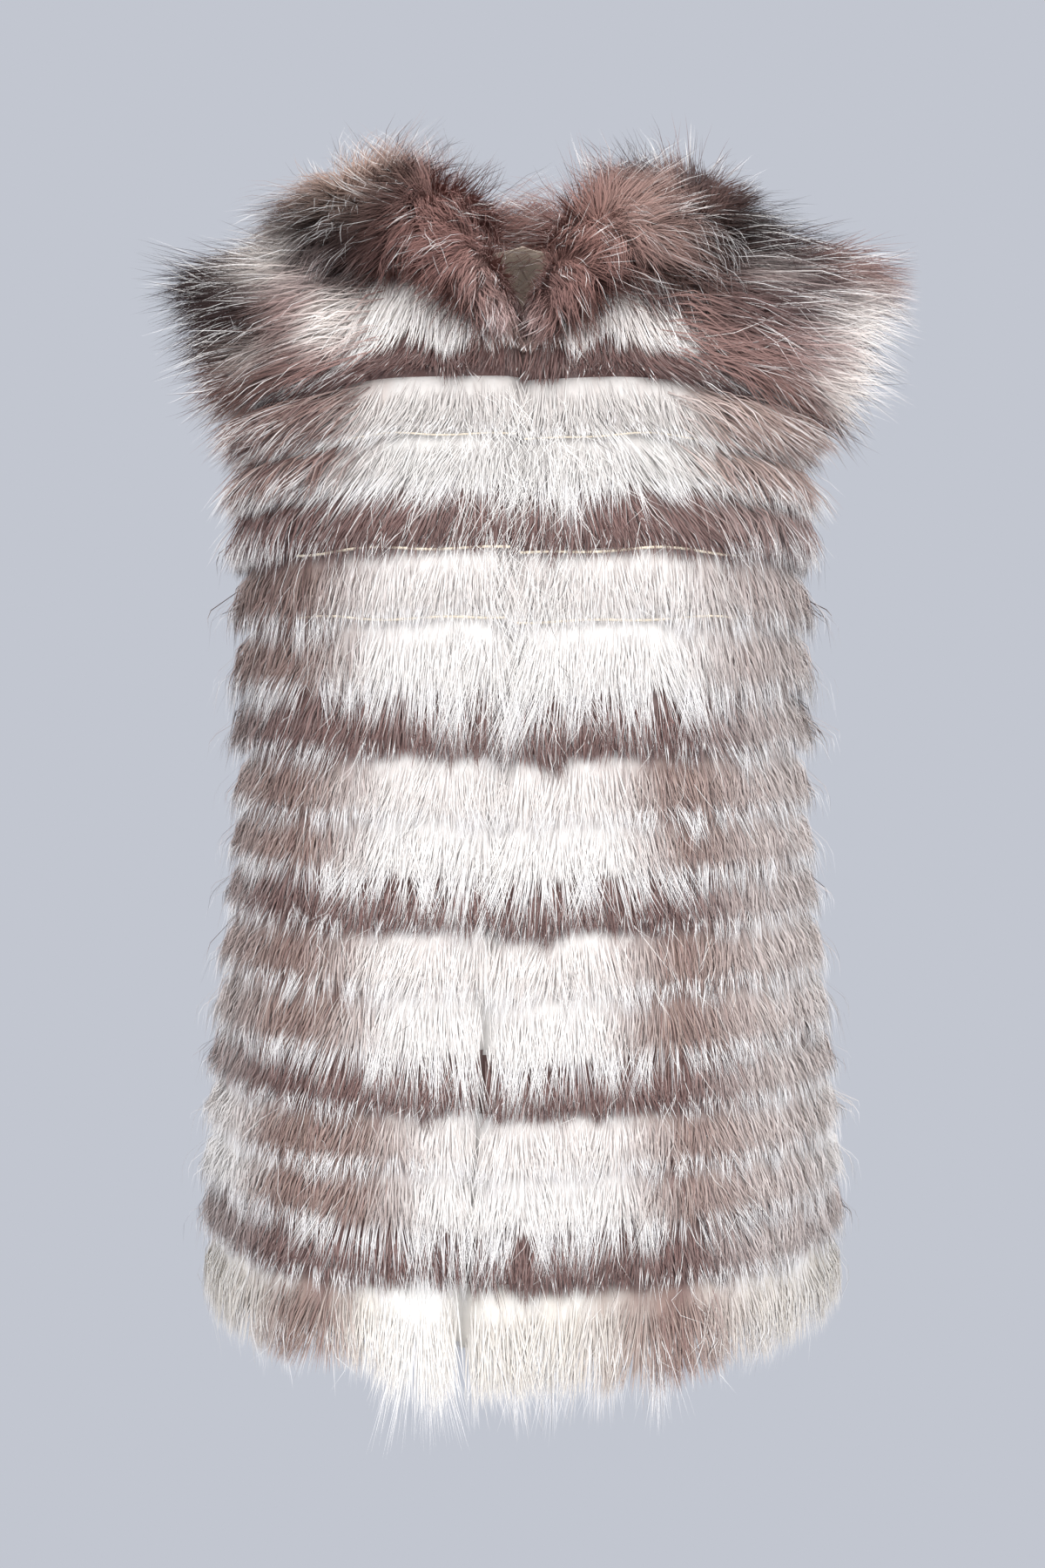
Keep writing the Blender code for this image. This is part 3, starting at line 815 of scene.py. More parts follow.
# the base sheet's rows down the strip, how far out they lie, and their painted shade, darkest at the top and
# bottom
BASE_DOWNS = np.array((-0.06, 0.20, 0.55, 0.80, 0.94, 0.98))
BASE_OUTS = np.array((0.0040, 0.0062, 0.0072, 0.0070, 0.0045, 0.0010))
BASE_SHADES = np.array((0.75, 0.82, 0.88, 0.88, 0.80, 0.60))
UNDER_PER_AREA = {FRONT: 0.27e6, BACK: 0.15e6}
UNDER_WIDTH = {FRONT: 0.00070, BACK: 0.00095}
UNDER_ROOTS = (0.0, 0.86)  # shares of the row's height
UNDER_TIPS = (0.62, 1.06)
UNDER_LEAST = 0.26
UNDER_HANG = 0.5
UNDER_HANG_MOST = 0.3
UNDER_HEM_HANG = 0.62
UNDER_STRAY = 0.10
UNDER_RISE = (0.0035, 0.0085)
UNDER_STEPS = np.array((0.0, 0.45, 1.0))
UNDER_RISES = np.array((0.0, 0.80, 1.0))
# painted shade along the soft hair of a row: darker at the root, a little lighter at the tip
UNDER_SHADES = np.array((0.88, 1.0, 1.03))
UNDER_LIMITS = (0.90, 1.06)
SOFT_TAPER = (0.8, 1.0, 0.0)
GUARD_PER_AREA = {FRONT: 0.18e6, BACK: 0.09e6}
GUARD_WIDTH = {FRONT: 0.00040, BACK: 0.00058}
GUARD_ROOTS = (0.02, 0.72)
GUARD_TAPER = (0.7, 1.0, 0.85, 0.0)
GUARD_LIMITS = (0.85, 1.08)
# painted shade at the roots of a row's guard hair, which untipped hairs also carry at their tips
GUARD_ROOT_SHADE = 0.80
GUARD_SHADE = 0.95
GUARD_LEAST = 0.35
GUARD_UNEVENNESS = 0.10
GUARD_STRAY = 0.06
GUARD_RISE = (0.0055, 0.0110)
GUARD_DROOP = 0.15
HEM_DROOP = 0.50
FLYAWAY_SHARE = 0.10
FLYAWAY_RISE = 1.7
CLUMP_PITCH = 0.0044
CLUMP_MIXING = 0.40
CLUMP_STRAY = 0.30
CLUMP_UNEVENNESS = 0.11
CLUMP_TILT = 0.13
CLUMP_PULLS = (0.25, 0.85)
SILVER_FROM = 0.84  # where the tips turn pale, as a share of the row
SILVER_STRAY = 0.07
SILVER_LIMITS = (0.30, 0.78)  # and as shares of the hair's length
SILVER_TURN = 0.16
TIPPED_SHARE = 0.85
BROWN_TIPPED = 0.10
BROWN_TIPPED_AT_SIDES = {True: 0.25, False: 0.55}  # by the armholes, and below
FROST_TIPPED = 0.2
SOOTY_LEAST = 0.015
SOOTY_BROWN = 0.05
SOOTY_SIDE = 0.07
SOOTY_FROM = (0.06, 0.10)
SOOTY_TIP = 1.3
SOOTY_MIDDLE = 0.5
HAIR_STEPS = np.array((0.0, 0.35, 0.70, 1.0))
STRAYS = {FRONT: 130, BACK: 60}
CROSSING_STRIPS = 5  # the first strips have more strays
FEWER_STRAYS = 0.25
STRAY_WIDTHS = 0.00024 * np.array((0.8, 1.0, 0.9, 0.0))
STRAY_ROOTS = (0.1, 0.8)
STRAY_DROPS = (0.7, 1.4)
STRAY_LEAN = 0.24
STRAY_BOW = 0.007
STRAY_RISE = (0.007, 0.013)
STRAY_BESIDE = 0.04  # half of the strays start this near to the opening
STRAY_WHITES = 0.95
WELTED_STRIPS = (1, 3, 4)
WELT_WIDTH = 0.0013
WELT_OUT = 0.0106
WELT_OUTS = np.array((-0.0003, 0.0004, -0.0006)) + WELT_OUT
WELT_RISE = -0.02
WELT_SWAY = 0.05
WELT_ENDS = (0.01, 0.60)
WELT_CREAM = srgb(238, 226, 205)


def lightened(shades, pale):
    """Painted shade of a coat that is darker inside, where its hairs shade each other; weaker where it is
    pale and lets the light through.
    """
    return 1 - (1 - shades) * (1 - PALE_GLOW * pale)


def evened(limits, pale):
    """Uneven shades of hairs, less uneven where they are pale."""
    shades = chance.uniform(*limits, len(pale))
    return (1 + (shades - 1) * (1 - PALE_EVENNESS * pale))[:, None]


def row_breadth(ground, row):
    return ground.breadth((row.top + row.bottom) / 2)


def row_roots(ground, row, shares, per_area):
    """Places where a row's hair grows, between two shares of its height."""
    first, last = (row.top + share * (row.bottom - row.top) for share in shares)
    v, u = ground.scatter(first, last, per_area)
    breadth = row_breadth(ground, row)
    u = over_opening(ground, row, u, breadth, between(*HAIR_COVERS, smooth(*LOW_ROWS, row.top)))
    x = ground.at(v, u, np.zeros(len(v)))[:, 0]
    return Roots(v, u, x, pale_share(row, x, ground.facing), breadth)


def led_down(ground, roots, tip, lean, t):
    """Rows and places across along hairs that lean as they go down to their tips."""
    drop = tip - roots.v
    aside = lean * drop * ground.length(roots.v, roots.u) / roots.breadth
    return roots.v[:, None] + drop[:, None] * t, roots.u[:, None] + aside[:, None] * t


def lay_row(hair, ground, row, rows, places, outs, widths, tints, band):
    """Ribbons along places on the ground, drawn back to the armhole's edge where the row ends at one."""
    if row.top < UNDERARM_SEAM:
        places = np.where(places > 1, 1 + (places - 1) * ARMHOLE_PAST, places)
    hair.ribbons(ground.at(rows, places, outs), ground.normal(rows, places), widths, tints, band)


def row_sheet(hair, ground, places, tints, band):
    """A sheet on the ground, turned to face out."""
    if ground.facing * ground.side > 0:
        places, tints = places[:, ::-1], tints[:, ::-1]
    hair.sheet(places, tints, band)


def row_base(hair, ground, row, band):
    """The thick of a row's coat, as a sheet under its hair, darkened as painted shade under the hair and as
    painted shadow at its free edges.
    """
    u = np.repeat(np.linspace(0, 1, COLUMNS + 1)[None], len(BASE_DOWNS), axis=0)
    v = np.repeat((row.top + BASE_DOWNS * (row.bottom - row.top))[:, None], COLUMNS + 1, axis=1)
    breadth = row_breadth(ground, row)
    u = over_opening(ground, row, u, breadth, 1.0)
    edge = edge_share(ground, row, u, breadth)
    places = ground.at(np.maximum(v, -1), u, BASE_OUTS[:, None] * edge)
    x = places[2, :, 0]
    pale = pale_share(row, x, ground.facing)
    tint = coat_tints(row, pale, frost_at(row, x, ground.facing))
    # painted shade inside the coat, and painted shadow along the free edges
    shades = lightened(BASE_SHADES[:, None], pale) * (1 - EDGE_PAINTED_SHADOW * (1 - edge))
    row_sheet(hair, ground, places, tint[None] * shades[..., None], band)


def row_under(hair, ground, row, band):
    """The soft short hair of a row."""
    span = row.bottom - row.top
    roots = row_roots(ground, row, UNDER_ROOTS, UNDER_PER_AREA[ground.facing])
    v, u, x, pale, breadth = roots
    count = len(v)
    hang = hang_of(row, x, ground.facing)
    tip = row.top + span * chance.uniform(*UNDER_TIPS, count)
    tip = np.maximum(tip, v + UNDER_LEAST * span) + UNDER_HANG * np.minimum(hang, UNDER_HANG_MOST)
    if row.top == HEM_TOP:
        tip = tip + UNDER_HEM_HANG * hang
    lean = lean_of(ground, row, u, breadth) + chance.normal(0, UNDER_STRAY, count)
    rows, places = led_down(ground, roots, tip, lean, UNDER_STEPS)
    rise = chance.uniform(*UNDER_RISE, count) * side_rise(row, u)
    edge = edge_share(ground, row, u, breadth)[:, None]
    outs = ROOT_OUT * edge + rise[:, None] * UNDER_RISES * (0.5 + 0.5 * edge)
    tint = coat_tints(row, pale, frost_at(row, x, ground.facing)) * evened(UNDER_LIMITS, pale)
    # painted shade, darker at the roots
    tints = tint[:, None] * lightened(UNDER_SHADES, pale[:, None])[..., None]
    widths = tapering(UNDER_WIDTH[ground.facing], count, SOFT_TAPER)
    lay_row(hair, ground, row, rows, places, outs, widths, tints, band)


def clumped(u, breadth):
    """Middle, length, tilt and pull of the clump that each guard hair belongs to."""
    clumps = int(breadth / CLUMP_PITCH) + 3
    own = (u * breadth / CLUMP_PITCH + chance.normal(0, CLUMP_MIXING, len(u))).astype(int)
    own = np.clip(own, 0, clumps - 1)
    middle = (np.arange(clumps) + 0.5 + chance.normal(0, CLUMP_STRAY, clumps)) * CLUMP_PITCH / breadth
    longer = chance.normal(0, CLUMP_UNEVENNESS, clumps)
    tilt = chance.normal(0, CLUMP_TILT, clumps)
    pull = chance.uniform(*CLUMP_PULLS, clumps)
    return middle[own], longer[own], tilt[own], pull[own]


def guard_tints(ground, row, x, pale):
    """Colours along guard hairs, most of them with pale tips and a few with sooty ones, with painted shade at
    the root.
    """
    count = len(x)
    frost = frost_at(row, x, ground.facing)
    coat = coat_tints(row, pale, frost) * evened(GUARD_LIMITS, pale)
    silver = mixed(SILVER, WHITE, chance.random(count))
    tipped_share = TIPPED_SHARE
    if row.kind == BROWN:
        at_sides = BROWN_TIPPED_AT_SIDES[row.top < UNDERARM_SEAM]
        tipped_share = BROWN_TIPPED + at_sides * side_share(x) + FROST_TIPPED * frost
    tipped = (chance.random(count) < tipped_share)[:, None]
    sooty_share = SOOTY_LEAST + SOOTY_BROWN * (1 - pale)
    sooty_share = sooty_share + SOOTY_SIDE * smooth(*SOOTY_FROM, -x * ground.facing)
    sooty = (chance.random(count) < sooty_share)[:, None]
    # painted shade at the root, also used at the tips that are not pale
    root = coat * lightened(GUARD_ROOT_SHADE, pale)[:, None]
    before = np.where(sooty, mixed(coat, SOOT, SOOTY_MIDDLE), coat * GUARD_SHADE)
    tip = np.where(sooty, SOOT * SOOTY_TIP, np.where(tipped, silver, root))
    return np.stack((root, before, tip, tip), axis=1)


def row_guard(hair, ground, row, band):
    """The long guard hair of a row, with pale tips that hang in points over the row below."""
    span = row.bottom - row.top
    roots = row_roots(ground, row, GUARD_ROOTS, GUARD_PER_AREA[ground.facing])
    v, u, x, pale, breadth = roots
    count = len(v)
    middle, longer, tilt, pull = clumped(u, breadth)
    tip = row.bottom + hang_of(row, x, ground.facing)
    tip = tip + (longer + chance.normal(0, GUARD_UNEVENNESS, count)) * span
    tip = np.maximum(tip, v + GUARD_LEAST * span)
    lean = lean_of(ground, row, u, breadth) + tilt + chance.normal(0, GUARD_STRAY, count)
    turn_pale = row.top + span * (SILVER_FROM + chance.normal(0, SILVER_STRAY, count))
    first = np.clip((turn_pale - v) / (tip - v), *SILVER_LIMITS)
    t = np.stack((np.zeros(count), first, first + SILVER_TURN, np.ones(count)), axis=1)
    rows, places = led_down(ground, roots, tip, lean, t)
    places = places + ((middle - u) * pull)[:, None] * t**2
    rise = chance.uniform(*GUARD_RISE, count)[:, None]
    rise = np.where(chance.random((count, 1)) < FLYAWAY_SHARE, rise * FLYAWAY_RISE, rise)
    rise = rise * side_rise(row, u)[:, None]
    edge = edge_share(ground, row, u, breadth)[:, None]
    outs = ROOT_OUT * edge + rise * (1 - (1 - t) ** 2) * (1 - GUARD_DROOP * t**2)
    if row.top == HEM_TOP:
        outs = outs * (1 - HEM_DROOP * t**2)
    tints = guard_tints(ground, row, x, pale)
    widths = tapering(GUARD_WIDTH[ground.facing], count, GUARD_TAPER)
    lay_row(hair, ground, row, rows, places, outs, widths, tints, band)


def row_strays(hair, ground, row, band):
    """A few long fine hairs that cross the others, most of them by the top of the opening."""
    crossing = row.top < CROSSING_STRIPS
    count = int(STRAYS[ground.facing] * (1 if crossing else FEWER_STRAYS))
    breadth = row_breadth(ground, row)
    v = row.top + chance.uniform(*STRAY_ROOTS, count)
    u = chance.random(count)
    if ground.facing == FRONT and crossing:
        u[: count // 2] = chance.uniform(0, STRAY_BESIDE, count // 2) / breadth
    drop = chance.uniform(*STRAY_DROPS, count)
    lean = lean_of(ground, row, u, breadth) + chance.normal(0, STRAY_LEAN, count)
    t = HAIR_STEPS
    rows, places = led_down(ground, Roots(v, u, None, None, breadth), v + drop, lean, t)
    places = places + chance.normal(0, STRAY_BOW, count)[:, None] * np.sin(math.pi * t) / breadth
    outs = ROOT_OUT + chance.uniform(*STRAY_RISE, count)[:, None] * (1 - (1 - t) ** 2)
    tint = np.where(chance.random((count, 1)) < STRAY_WHITES, WHITE, SOOT)
    tints = np.repeat(tint[:, None], len(t), axis=1)
    widths = np.repeat(STRAY_WIDTHS[None], count, axis=0)
    lay_row(hair, ground, row, rows, places, outs, widths, tints, band)


def row_welt(hair, ground, row, band):
    """The thin edge of the leather that shows along the top of a strip, by the opening."""
    marks = len(WELT_OUTS)
    across = np.linspace(*WELT_ENDS, COLUMNS)
    downs = np.linspace(-0.5, 0.5, marks) * WELT_WIDTH / ground.length(np.array(row.top), np.array(0.3))
    sway = WELT_SWAY * waves(across * 0.08, row_seed(row, 7))
    v = row.top + WELT_RISE + downs[:, None] + sway
    u = np.repeat(across[None], marks, axis=0)
    places = ground.at(v, u, np.repeat(WELT_OUTS[:, None], COLUMNS, axis=1))
    row_sheet(hair, ground, places, np.broadcast_to(WELT_CREAM, places.shape), band)


def row_hair(hair, ground, row, band):
    row_base(hair, ground, row, band)
    row_under(hair, ground, row, band)
    row_guard(hair, ground, row, band)
    if row.top >= 0:
        row_strays(hair, ground, row, band)
    if row.top in WELTED_STRIPS and ground.facing == FRONT:
        row_welt(hair, ground, row, band)


# Free hair: the collar and the armholes
Coat = namedtuple("Coat", "count shortest longest width tufts pull wild silver")  # soft hair has no silver
SOFT_STEPS = np.array((0.0, 0.5, 1.0))
NEAREST_AT_ONCE = 4000
FIRST_STRAY = 0.15
LAST_STRAY = 0.20
TUFT_PULLS = (0.3, 1.0)
TUFT_POWER = 1.5
# painted shade along free soft hair: darker at the root, a little lighter at the tip
SOFT_SHADES = np.array((0.80, 1.00, 1.06))
SOFT_UNEVENNESS = (0.88, 1.08)
COAT_TAPER = (0.8, 1.0, 0.75, 0.0)
# painted shade at the root of free guard hair
ROOT_SHADE = 0.75
TIP_SHARE = 0.8
SOOTY_SHARE = 0.12


def nearest(places, centres):
    """Number of the nearest centre to each place."""
    found = np.empty(len(places), int)
    for start in range(0, len(places), NEAREST_AT_ONCE):
        some = slice(start, start + NEAREST_AT_ONCE)
        gaps = places[some, None] - centres[None]
        found[some] = np.einsum("ijk,ijk->ij", gaps, gaps).argmin(axis=1)
    return found


def bent(roots, first, last, lengths, steps):
    """Points along hairs that leave their roots one way and end another way."""
    t = steps[:, None]
    way = first[:, None] * (t - t**2 / 2) + last[:, None] * t**2 / 2
    return roots[:, None] + lengths[:, None, None] * way


def scattered_ways(ways, wild):
    return unit(ways + chance.normal(0, wild, ways.shape))


def tufted_spines(coat, roots, first, last, lengths, steps):
    """Points along hairs from given roots, drawn together in tufts."""
    count = len(roots)
    leaders = chance.choice(count, coat.tufts, replace=False)
    leader = nearest(roots, roots[leaders])
    tuft_last = scattered_ways(last[leaders], coat.wild)
    own_last = scattered_ways(unit(last + tuft_last[leader]), LAST_STRAY)
    own = bent(roots, scattered_ways(first, FIRST_STRAY), own_last, lengths, steps)
    lead = bent(roots[leaders], first[leaders], tuft_last, lengths[leaders], steps)
    pull = (coat.pull * chance.uniform(*TUFT_PULLS, count))[:, None, None] * steps[:, None] ** TUFT_POWER
    return own + (lead[leader] - own) * pull


def soft_tints(tints):
    """Colours along soft hairs, with painted shade: darker at the root and a little lighter at the tip."""
    return tints * chance.uniform(*SOFT_UNEVENNESS, (len(tints), 1, 1)) * SOFT_SHADES[:, None]


def tipped_tints(tints, silver_share):
    """Colours along guard hairs, some of them silver or sooty at the tip, with painted shade at the root."""
    count = len(tints)
    root, middle, before, _ = np.moveaxis(tints, 1, 0)
    draw = chance.random(count)[:, None]
    tip = np.where(draw < silver_share, mixed(SILVER, WHITE, chance.random(count)), before)
    tip = np.where(draw > 1 - SOOTY_SHARE, SOOT, tip)
    return np.stack((root * ROOT_SHADE, middle, mixed(before, tip, TIP_SHARE), tip), axis=1)


def lay_coat(hair, coat, roots, facing, first, last, shortening, tints_of, band):
    """One coat of free hair, soft or guard, with the colour of the place where each point lies."""
    count = len(roots)
    soft = coat.silver is None
    steps = SOFT_STEPS if soft else HAIR_STEPS
    lengths = chance.uniform(coat.shortest, coat.longest, count) * shortening
    spines = tufted_spines(coat, roots, first, last, lengths, steps)
    tints = tints_of(spines)
    tints = soft_tints(tints) if soft else tipped_tints(tints, coat.silver)
    widths = tapering(coat.width, count, SOFT_TAPER if soft else COAT_TAPER)
    hair.ribbons(spines, np.repeat(facing[:, None], len(steps), axis=1), widths, tints, band)


# Colours of the collar and shoulders, as seen from the front
Patch = namedtuple("Patch", "x z radius tint")
COLLAR_BROWN = srgb(140, 112, 107)
PATCH_FADE = 0.04
PATCH_SHARPNESS = 1.5
PATCH_STRAY = 0.003
PATCHES_TURN = 0.03  # behind this they are turned about
COLLAR_PATCHES = (
    # the right-hand wing, which is on the left as seen
    Patch(-0.109, 0.064, 0.028, srgb(170, 144, 132)),
    Patch(-0.116, 0.030, 0.030, srgb(34, 22, 21)),
    Patch(-0.080, 0.046, 0.018, srgb(74, 54, 52)),
    Patch(-0.052, 0.018, 0.034, srgb(144, 108, 102)),
    Patch(-0.020, -0.006, 0.016, srgb(162, 132, 126)),
    Patch(-0.006, -0.032, 0.010, srgb(204, 178, 174)),
    # its shoulder
    Patch(-0.152, 0.012, 0.014, srgb(222, 214, 208)),
    Patch(-0.131, 0.000, 0.013, srgb(200, 182, 178)),
    Patch(-0.200, -0.004, 0.038, srgb(28, 18, 18)),
    Patch(-0.136, -0.019, 0.012, srgb(160, 136, 132)),
    Patch(-0.113, -0.025, 0.014, srgb(236, 229, 224)),
    Patch(-0.178, -0.031, 0.026, srgb(40, 27, 25)),
    Patch(-0.165, -0.048, 0.010, srgb(214, 204, 198)),
    Patch(-0.172, -0.066, 0.020, srgb(98, 74, 69)),
    Patch(-0.146, -0.100, 0.016, srgb(130, 104, 97)),
    # the left-hand wing
    Patch(0.040, 0.012, 0.032, srgb(144, 108, 101)),
    Patch(0.080, 0.028, 0.028, srgb(166, 138, 130)),
    Patch(0.116, 0.052, 0.018, srgb(90, 67, 63)),
    Patch(0.137, 0.034, 0.031, srgb(24, 15, 15)),
    Patch(0.104, 0.066, 0.012, SOOT),
    Patch(0.073, 0.075, 0.010, SOOT),
    Patch(0.018, -0.008, 0.014, srgb(132, 103, 99)),
    Patch(0.058, -0.010, 0.008, srgb(58, 44, 44)),
    # its shoulder
    Patch(0.172, 0.010, 0.018, srgb(62, 49, 49)),
    Patch(0.146, 0.004, 0.010, srgb(216, 206, 202)),
    Patch(0.140, -0.014, 0.017, srgb(96, 76, 74)),
    Patch(0.168, -0.018, 0.014, srgb(84, 66, 66)),
    Patch(0.206, 0.008, 0.022, srgb(132, 104, 99)),
    Patch(0.213, -0.026, 0.024, srgb(248, 243, 239)),
    Patch(0.180, -0.046, 0.012, srgb(178, 152, 148)),
    Patch(0.200, -0.064, 0.020, srgb(244, 238, 233)),
    Patch(0.160, -0.080, 0.014, srgb(140, 112, 106)),
)


def patch_tints(places):
    """Colour of the collar and shoulders at places: patches at the front, and the same ones at the back."""
    shape = places.shape
    places = places.reshape(-1, 3)
    count = len(places)
    x = np.where(places[:, 1] < PATCHES_TURN, places[:, 0], -places[:, 0])
    x = x + chance.normal(0, PATCH_STRAY, count)
    z = places[:, 2] + chance.normal(0, PATCH_STRAY, count)
    tint = np.repeat(COLLAR_BROWN[None] * PATCH_FADE, count, axis=0)
    total = np.full((count, 1), PATCH_FADE)
    for patch in COLLAR_PATCHES:
        away = ((x - patch.x) ** 2 + (z - patch.z) ** 2) / patch.radius**2
        weight = np.exp(-away * PATCH_SHARPNESS)[:, None]
        tint = tint + patch.tint * weight
        total = total + weight
    return (tint / total).reshape(shape)


# Collar: reach out from the neck edge and rise above it, front end to centre back, as in the solids
Station = namedtuple("Station", "share reach rise")
COLLAR = (
    Station(0.00, 0.042, 0.040),
    Station(0.22, 0.060, 0.050),
    Station(0.45, 0.074, 0.060),
    Station(0.60, 0.084, 0.066),
    Station(0.80, 0.076, 0.062),
    Station(1.00, 0.070, 0.058),
)
COLLAR_SEAT = 0.0069
CollarMark = namedtuple("CollarMark", "out up")
COLLAR_PROFILE = (
    CollarMark(0.02, 0.00),
    CollarMark(0.30, 0.36),
    CollarMark(1.00, 0.56),
    CollarMark(0.86, 0.86),
    CollarMark(0.42, 1.00),
    CollarMark(-0.04, 0.80),
    CollarMark(-0.10, 0.36),
)
COLLAR_ROUND = 26
COLLAR_SECTIONS = 44  # on each side of the centre back
COLLAR_CORE = (0.86, 0.72)  # breadth and height of the core under the hair, as shares of the solid
COLLAR_SINK = 0.07
# the core sheet is darkened by this share as painted shade under the collar's hair
CORE_PAINTED_SHADE = 0.55
LOWERING = {LEFT: 0.70, RIGHT: 0.86}  # the fur is pressed down to this share of the solid's rise
BACK_LOWERING = 0.80
COLLAR_END = 0.11  # its front ends close within this share of its half
COLLAR_TIP = 0.02
COLLAR_SOFT = Coat(36000, 0.016, 0.034, 0.00055, 260, 0.40, 0.35, None)
COLLAR_GUARD = Coat(12500, 0.030, 0.058, 0.00028, 420, 0.50, 0.55, 0.30)
END_SECTIONS = 10  # the hair is shorter at the collar's front ends
END_LENGTH = 0.60
BACK_THINNING = 0.60  # it is thinner by this share behind the neck
THINNING_FROM = (0.0, 0.05)
Whorl = namedtuple("Whorl", "x y z")  # it turns away from these places
WHORLS = (
    Whorl(-0.104, -0.020, 0.046),
    Whorl(-0.055, -0.070, 0.020),
    Whorl(-0.022, -0.095, -0.006),
    Whorl(0.022, -0.095, -0.006),
    Whorl(0.045, -0.080, 0.012),
    Whorl(0.104, -0.020, 0.036),
    Whorl(-0.060, 0.060, 0.060),
    Whorl(0.070, 0.060, 0.056),
)
FLOW_OUT = 0.35
FLOW_AWAY = 0.85
FLOW_LIFTS = (0.25, -0.30)  # inside and outside
FLOW_SAG = 0.10
LEAVING = (0.90, 0.60)  # shares of the ground's normal and of the flow as the hair leaves its root
ENDING = 0.30
FACING_LEAN = 0.4
NECK_SHARES = (0, 1 / 3, 2 / 3)
BELOW_NECK = -0.75


def closed_round(marks, count):
    """Points on a smooth closed curve through a few marks."""
    marks = np.array(marks)
    at = np.arange(count) * len(marks) / count
    i = at.astype(int)
    t = (at - i)[:, None]
    before, here, after, beyond = (marks[(i + step) % len(marks)] for step in (-1, 0, 1, 2))
    return (here * 2 + (after - before) * t + (before * 2 - here * 5 + after * 4 - beyond) * t**2
            + (here * 3 - before - after * 3 + beyond) * t**3) / 2


def neck_frame(ground, share):
    """A place on the neck edge, and the way down the ground from there."""
    u = np.array(share * NECK_COLUMNS[ground.facing] / COLUMNS)
    place = ground.read(ground.points, np.array(-1.0), u)
    return place, ground.read(ground.points, np.array(BELOW_NECK), u) - place


def neck_frames():
    """Places on the left half of the neck edge, front to centre back, with the ways out and up from there."""
    front, back = grounds[FRONT, LEFT], grounds[BACK, LEFT]
    neck = front.points[0, NECK_COLUMNS[FRONT]]
    frames = [neck_frame(front, share) for share in NECK_SHARES]
    frames.append((neck, front.points[0, -1] - neck))
    frames += [neck_frame(back, share) for share in reversed(NECK_SHARES)]
    places = np.array([place for place, _ in frames])
    outs = unit(np.array([out for _, out in frames]))
    ups = unit(np.cross(outs, np.gradient(places, axis=0)))
    return places, outs, ups * np.sign(ups[:, 2:3])


def collar_half(lowering):
    """Grid of the core of the collar's left half, from its front end, and the way out at each section."""
    share = np.linspace(0, 1, COLLAR_SECTIONS + 1)
    place, out, up = (points_along(row, np.linspace(0, 1, len(row)), share) for row in neck_frames())
    out, up = unit(out), unit(up)
    shares, reaches, rises = zip(*COLLAR)
    reach = curve_through(shares, reaches, share)
    rise = curve_through(shares, rises, share) * between(lowering, BACK_LOWERING, share**2)
    marks = closed_round(COLLAR_PROFILE, COLLAR_ROUND)
    middle = marks.mean(axis=0)
    marks = middle + (marks - middle) * COLLAR_CORE - (0, COLLAR_SINK)
    half = (place + up * COLLAR_SEAT)[:, None] + out[:, None] * (reach[:, None] * marks[:, 0])[..., None]
    half = half + up[:, None] * (rise[:, None] * marks[:, 1])[..., None]
    closing = np.sqrt(1 - (1 - np.clip(share / COLLAR_END, COLLAR_TIP, 1)) ** 2)[:, None, None]
    heart = half.mean(axis=1, keepdims=True)
    half = heart + (half - heart) * closing
    half[-1, :, 0] = 0.0
    return half, out


def collar_core():
    """Grid of the collar's core and the way out at each section, from the left front end to the right one."""
    left, out = collar_half(LOWERING[LEFT])
    right, _ = collar_half(LOWERING[RIGHT])
    grid = np.concatenate((left, right[::-1][1:] * (-1, 1, 1)))
    return grid, np.concatenate((out, out[::-1][1:] * (-1, 1, 1)))


def grid_scatter(grid, count):
    """Places spread evenly over a closed grid, fewer at the back, with their normals and their rows."""
    along = np.gradient(grid, axis=0)
    around = (np.roll(grid, -1, axis=1) - np.roll(grid, 1, axis=1)) / 2
    normals = np.cross(along, around)
    areas = np.linalg.norm(normals, axis=-1) * (1 - BACK_THINNING * smooth(*THINNING_FROM, grid[..., 1]))
    areas = areas.ravel()
    cell = chance.choice(areas.size, count, p=areas / areas.sum())
    row, column = np.divmod(cell, grid.shape[1])
    spread = chance.uniform(-0.5, 0.5, (2, count, 1))
    places = grid[row, column] + along[row, column] * spread[0] + around[row, column] * spread[1]
    return places, unit(normals[row, column]), row


def collar_ways(roots, normals, outs):
    """Ways in which the collar's hair leaves its roots and ends, away from the whorls and down outside."""
    whorls = np.array(WHORLS)
    away = unit(roots - whorls[nearest(roots, whorls)])
    outward = np.clip(np.sum(normals * outs, axis=1), -1, 1)[:, None]
    up = np.array((0, 0, 1.0))
    flow = outs * FLOW_OUT + away * FLOW_AWAY + up * between(*FLOW_LIFTS, (1 + outward) / 2)
    flow = unit(flow - normals * np.sum(flow * normals, axis=1, keepdims=True))
    first = unit(normals * LEAVING[0] + flow * LEAVING[1])
    return first, unit(normals * ENDING + flow - up * FLOW_SAG)


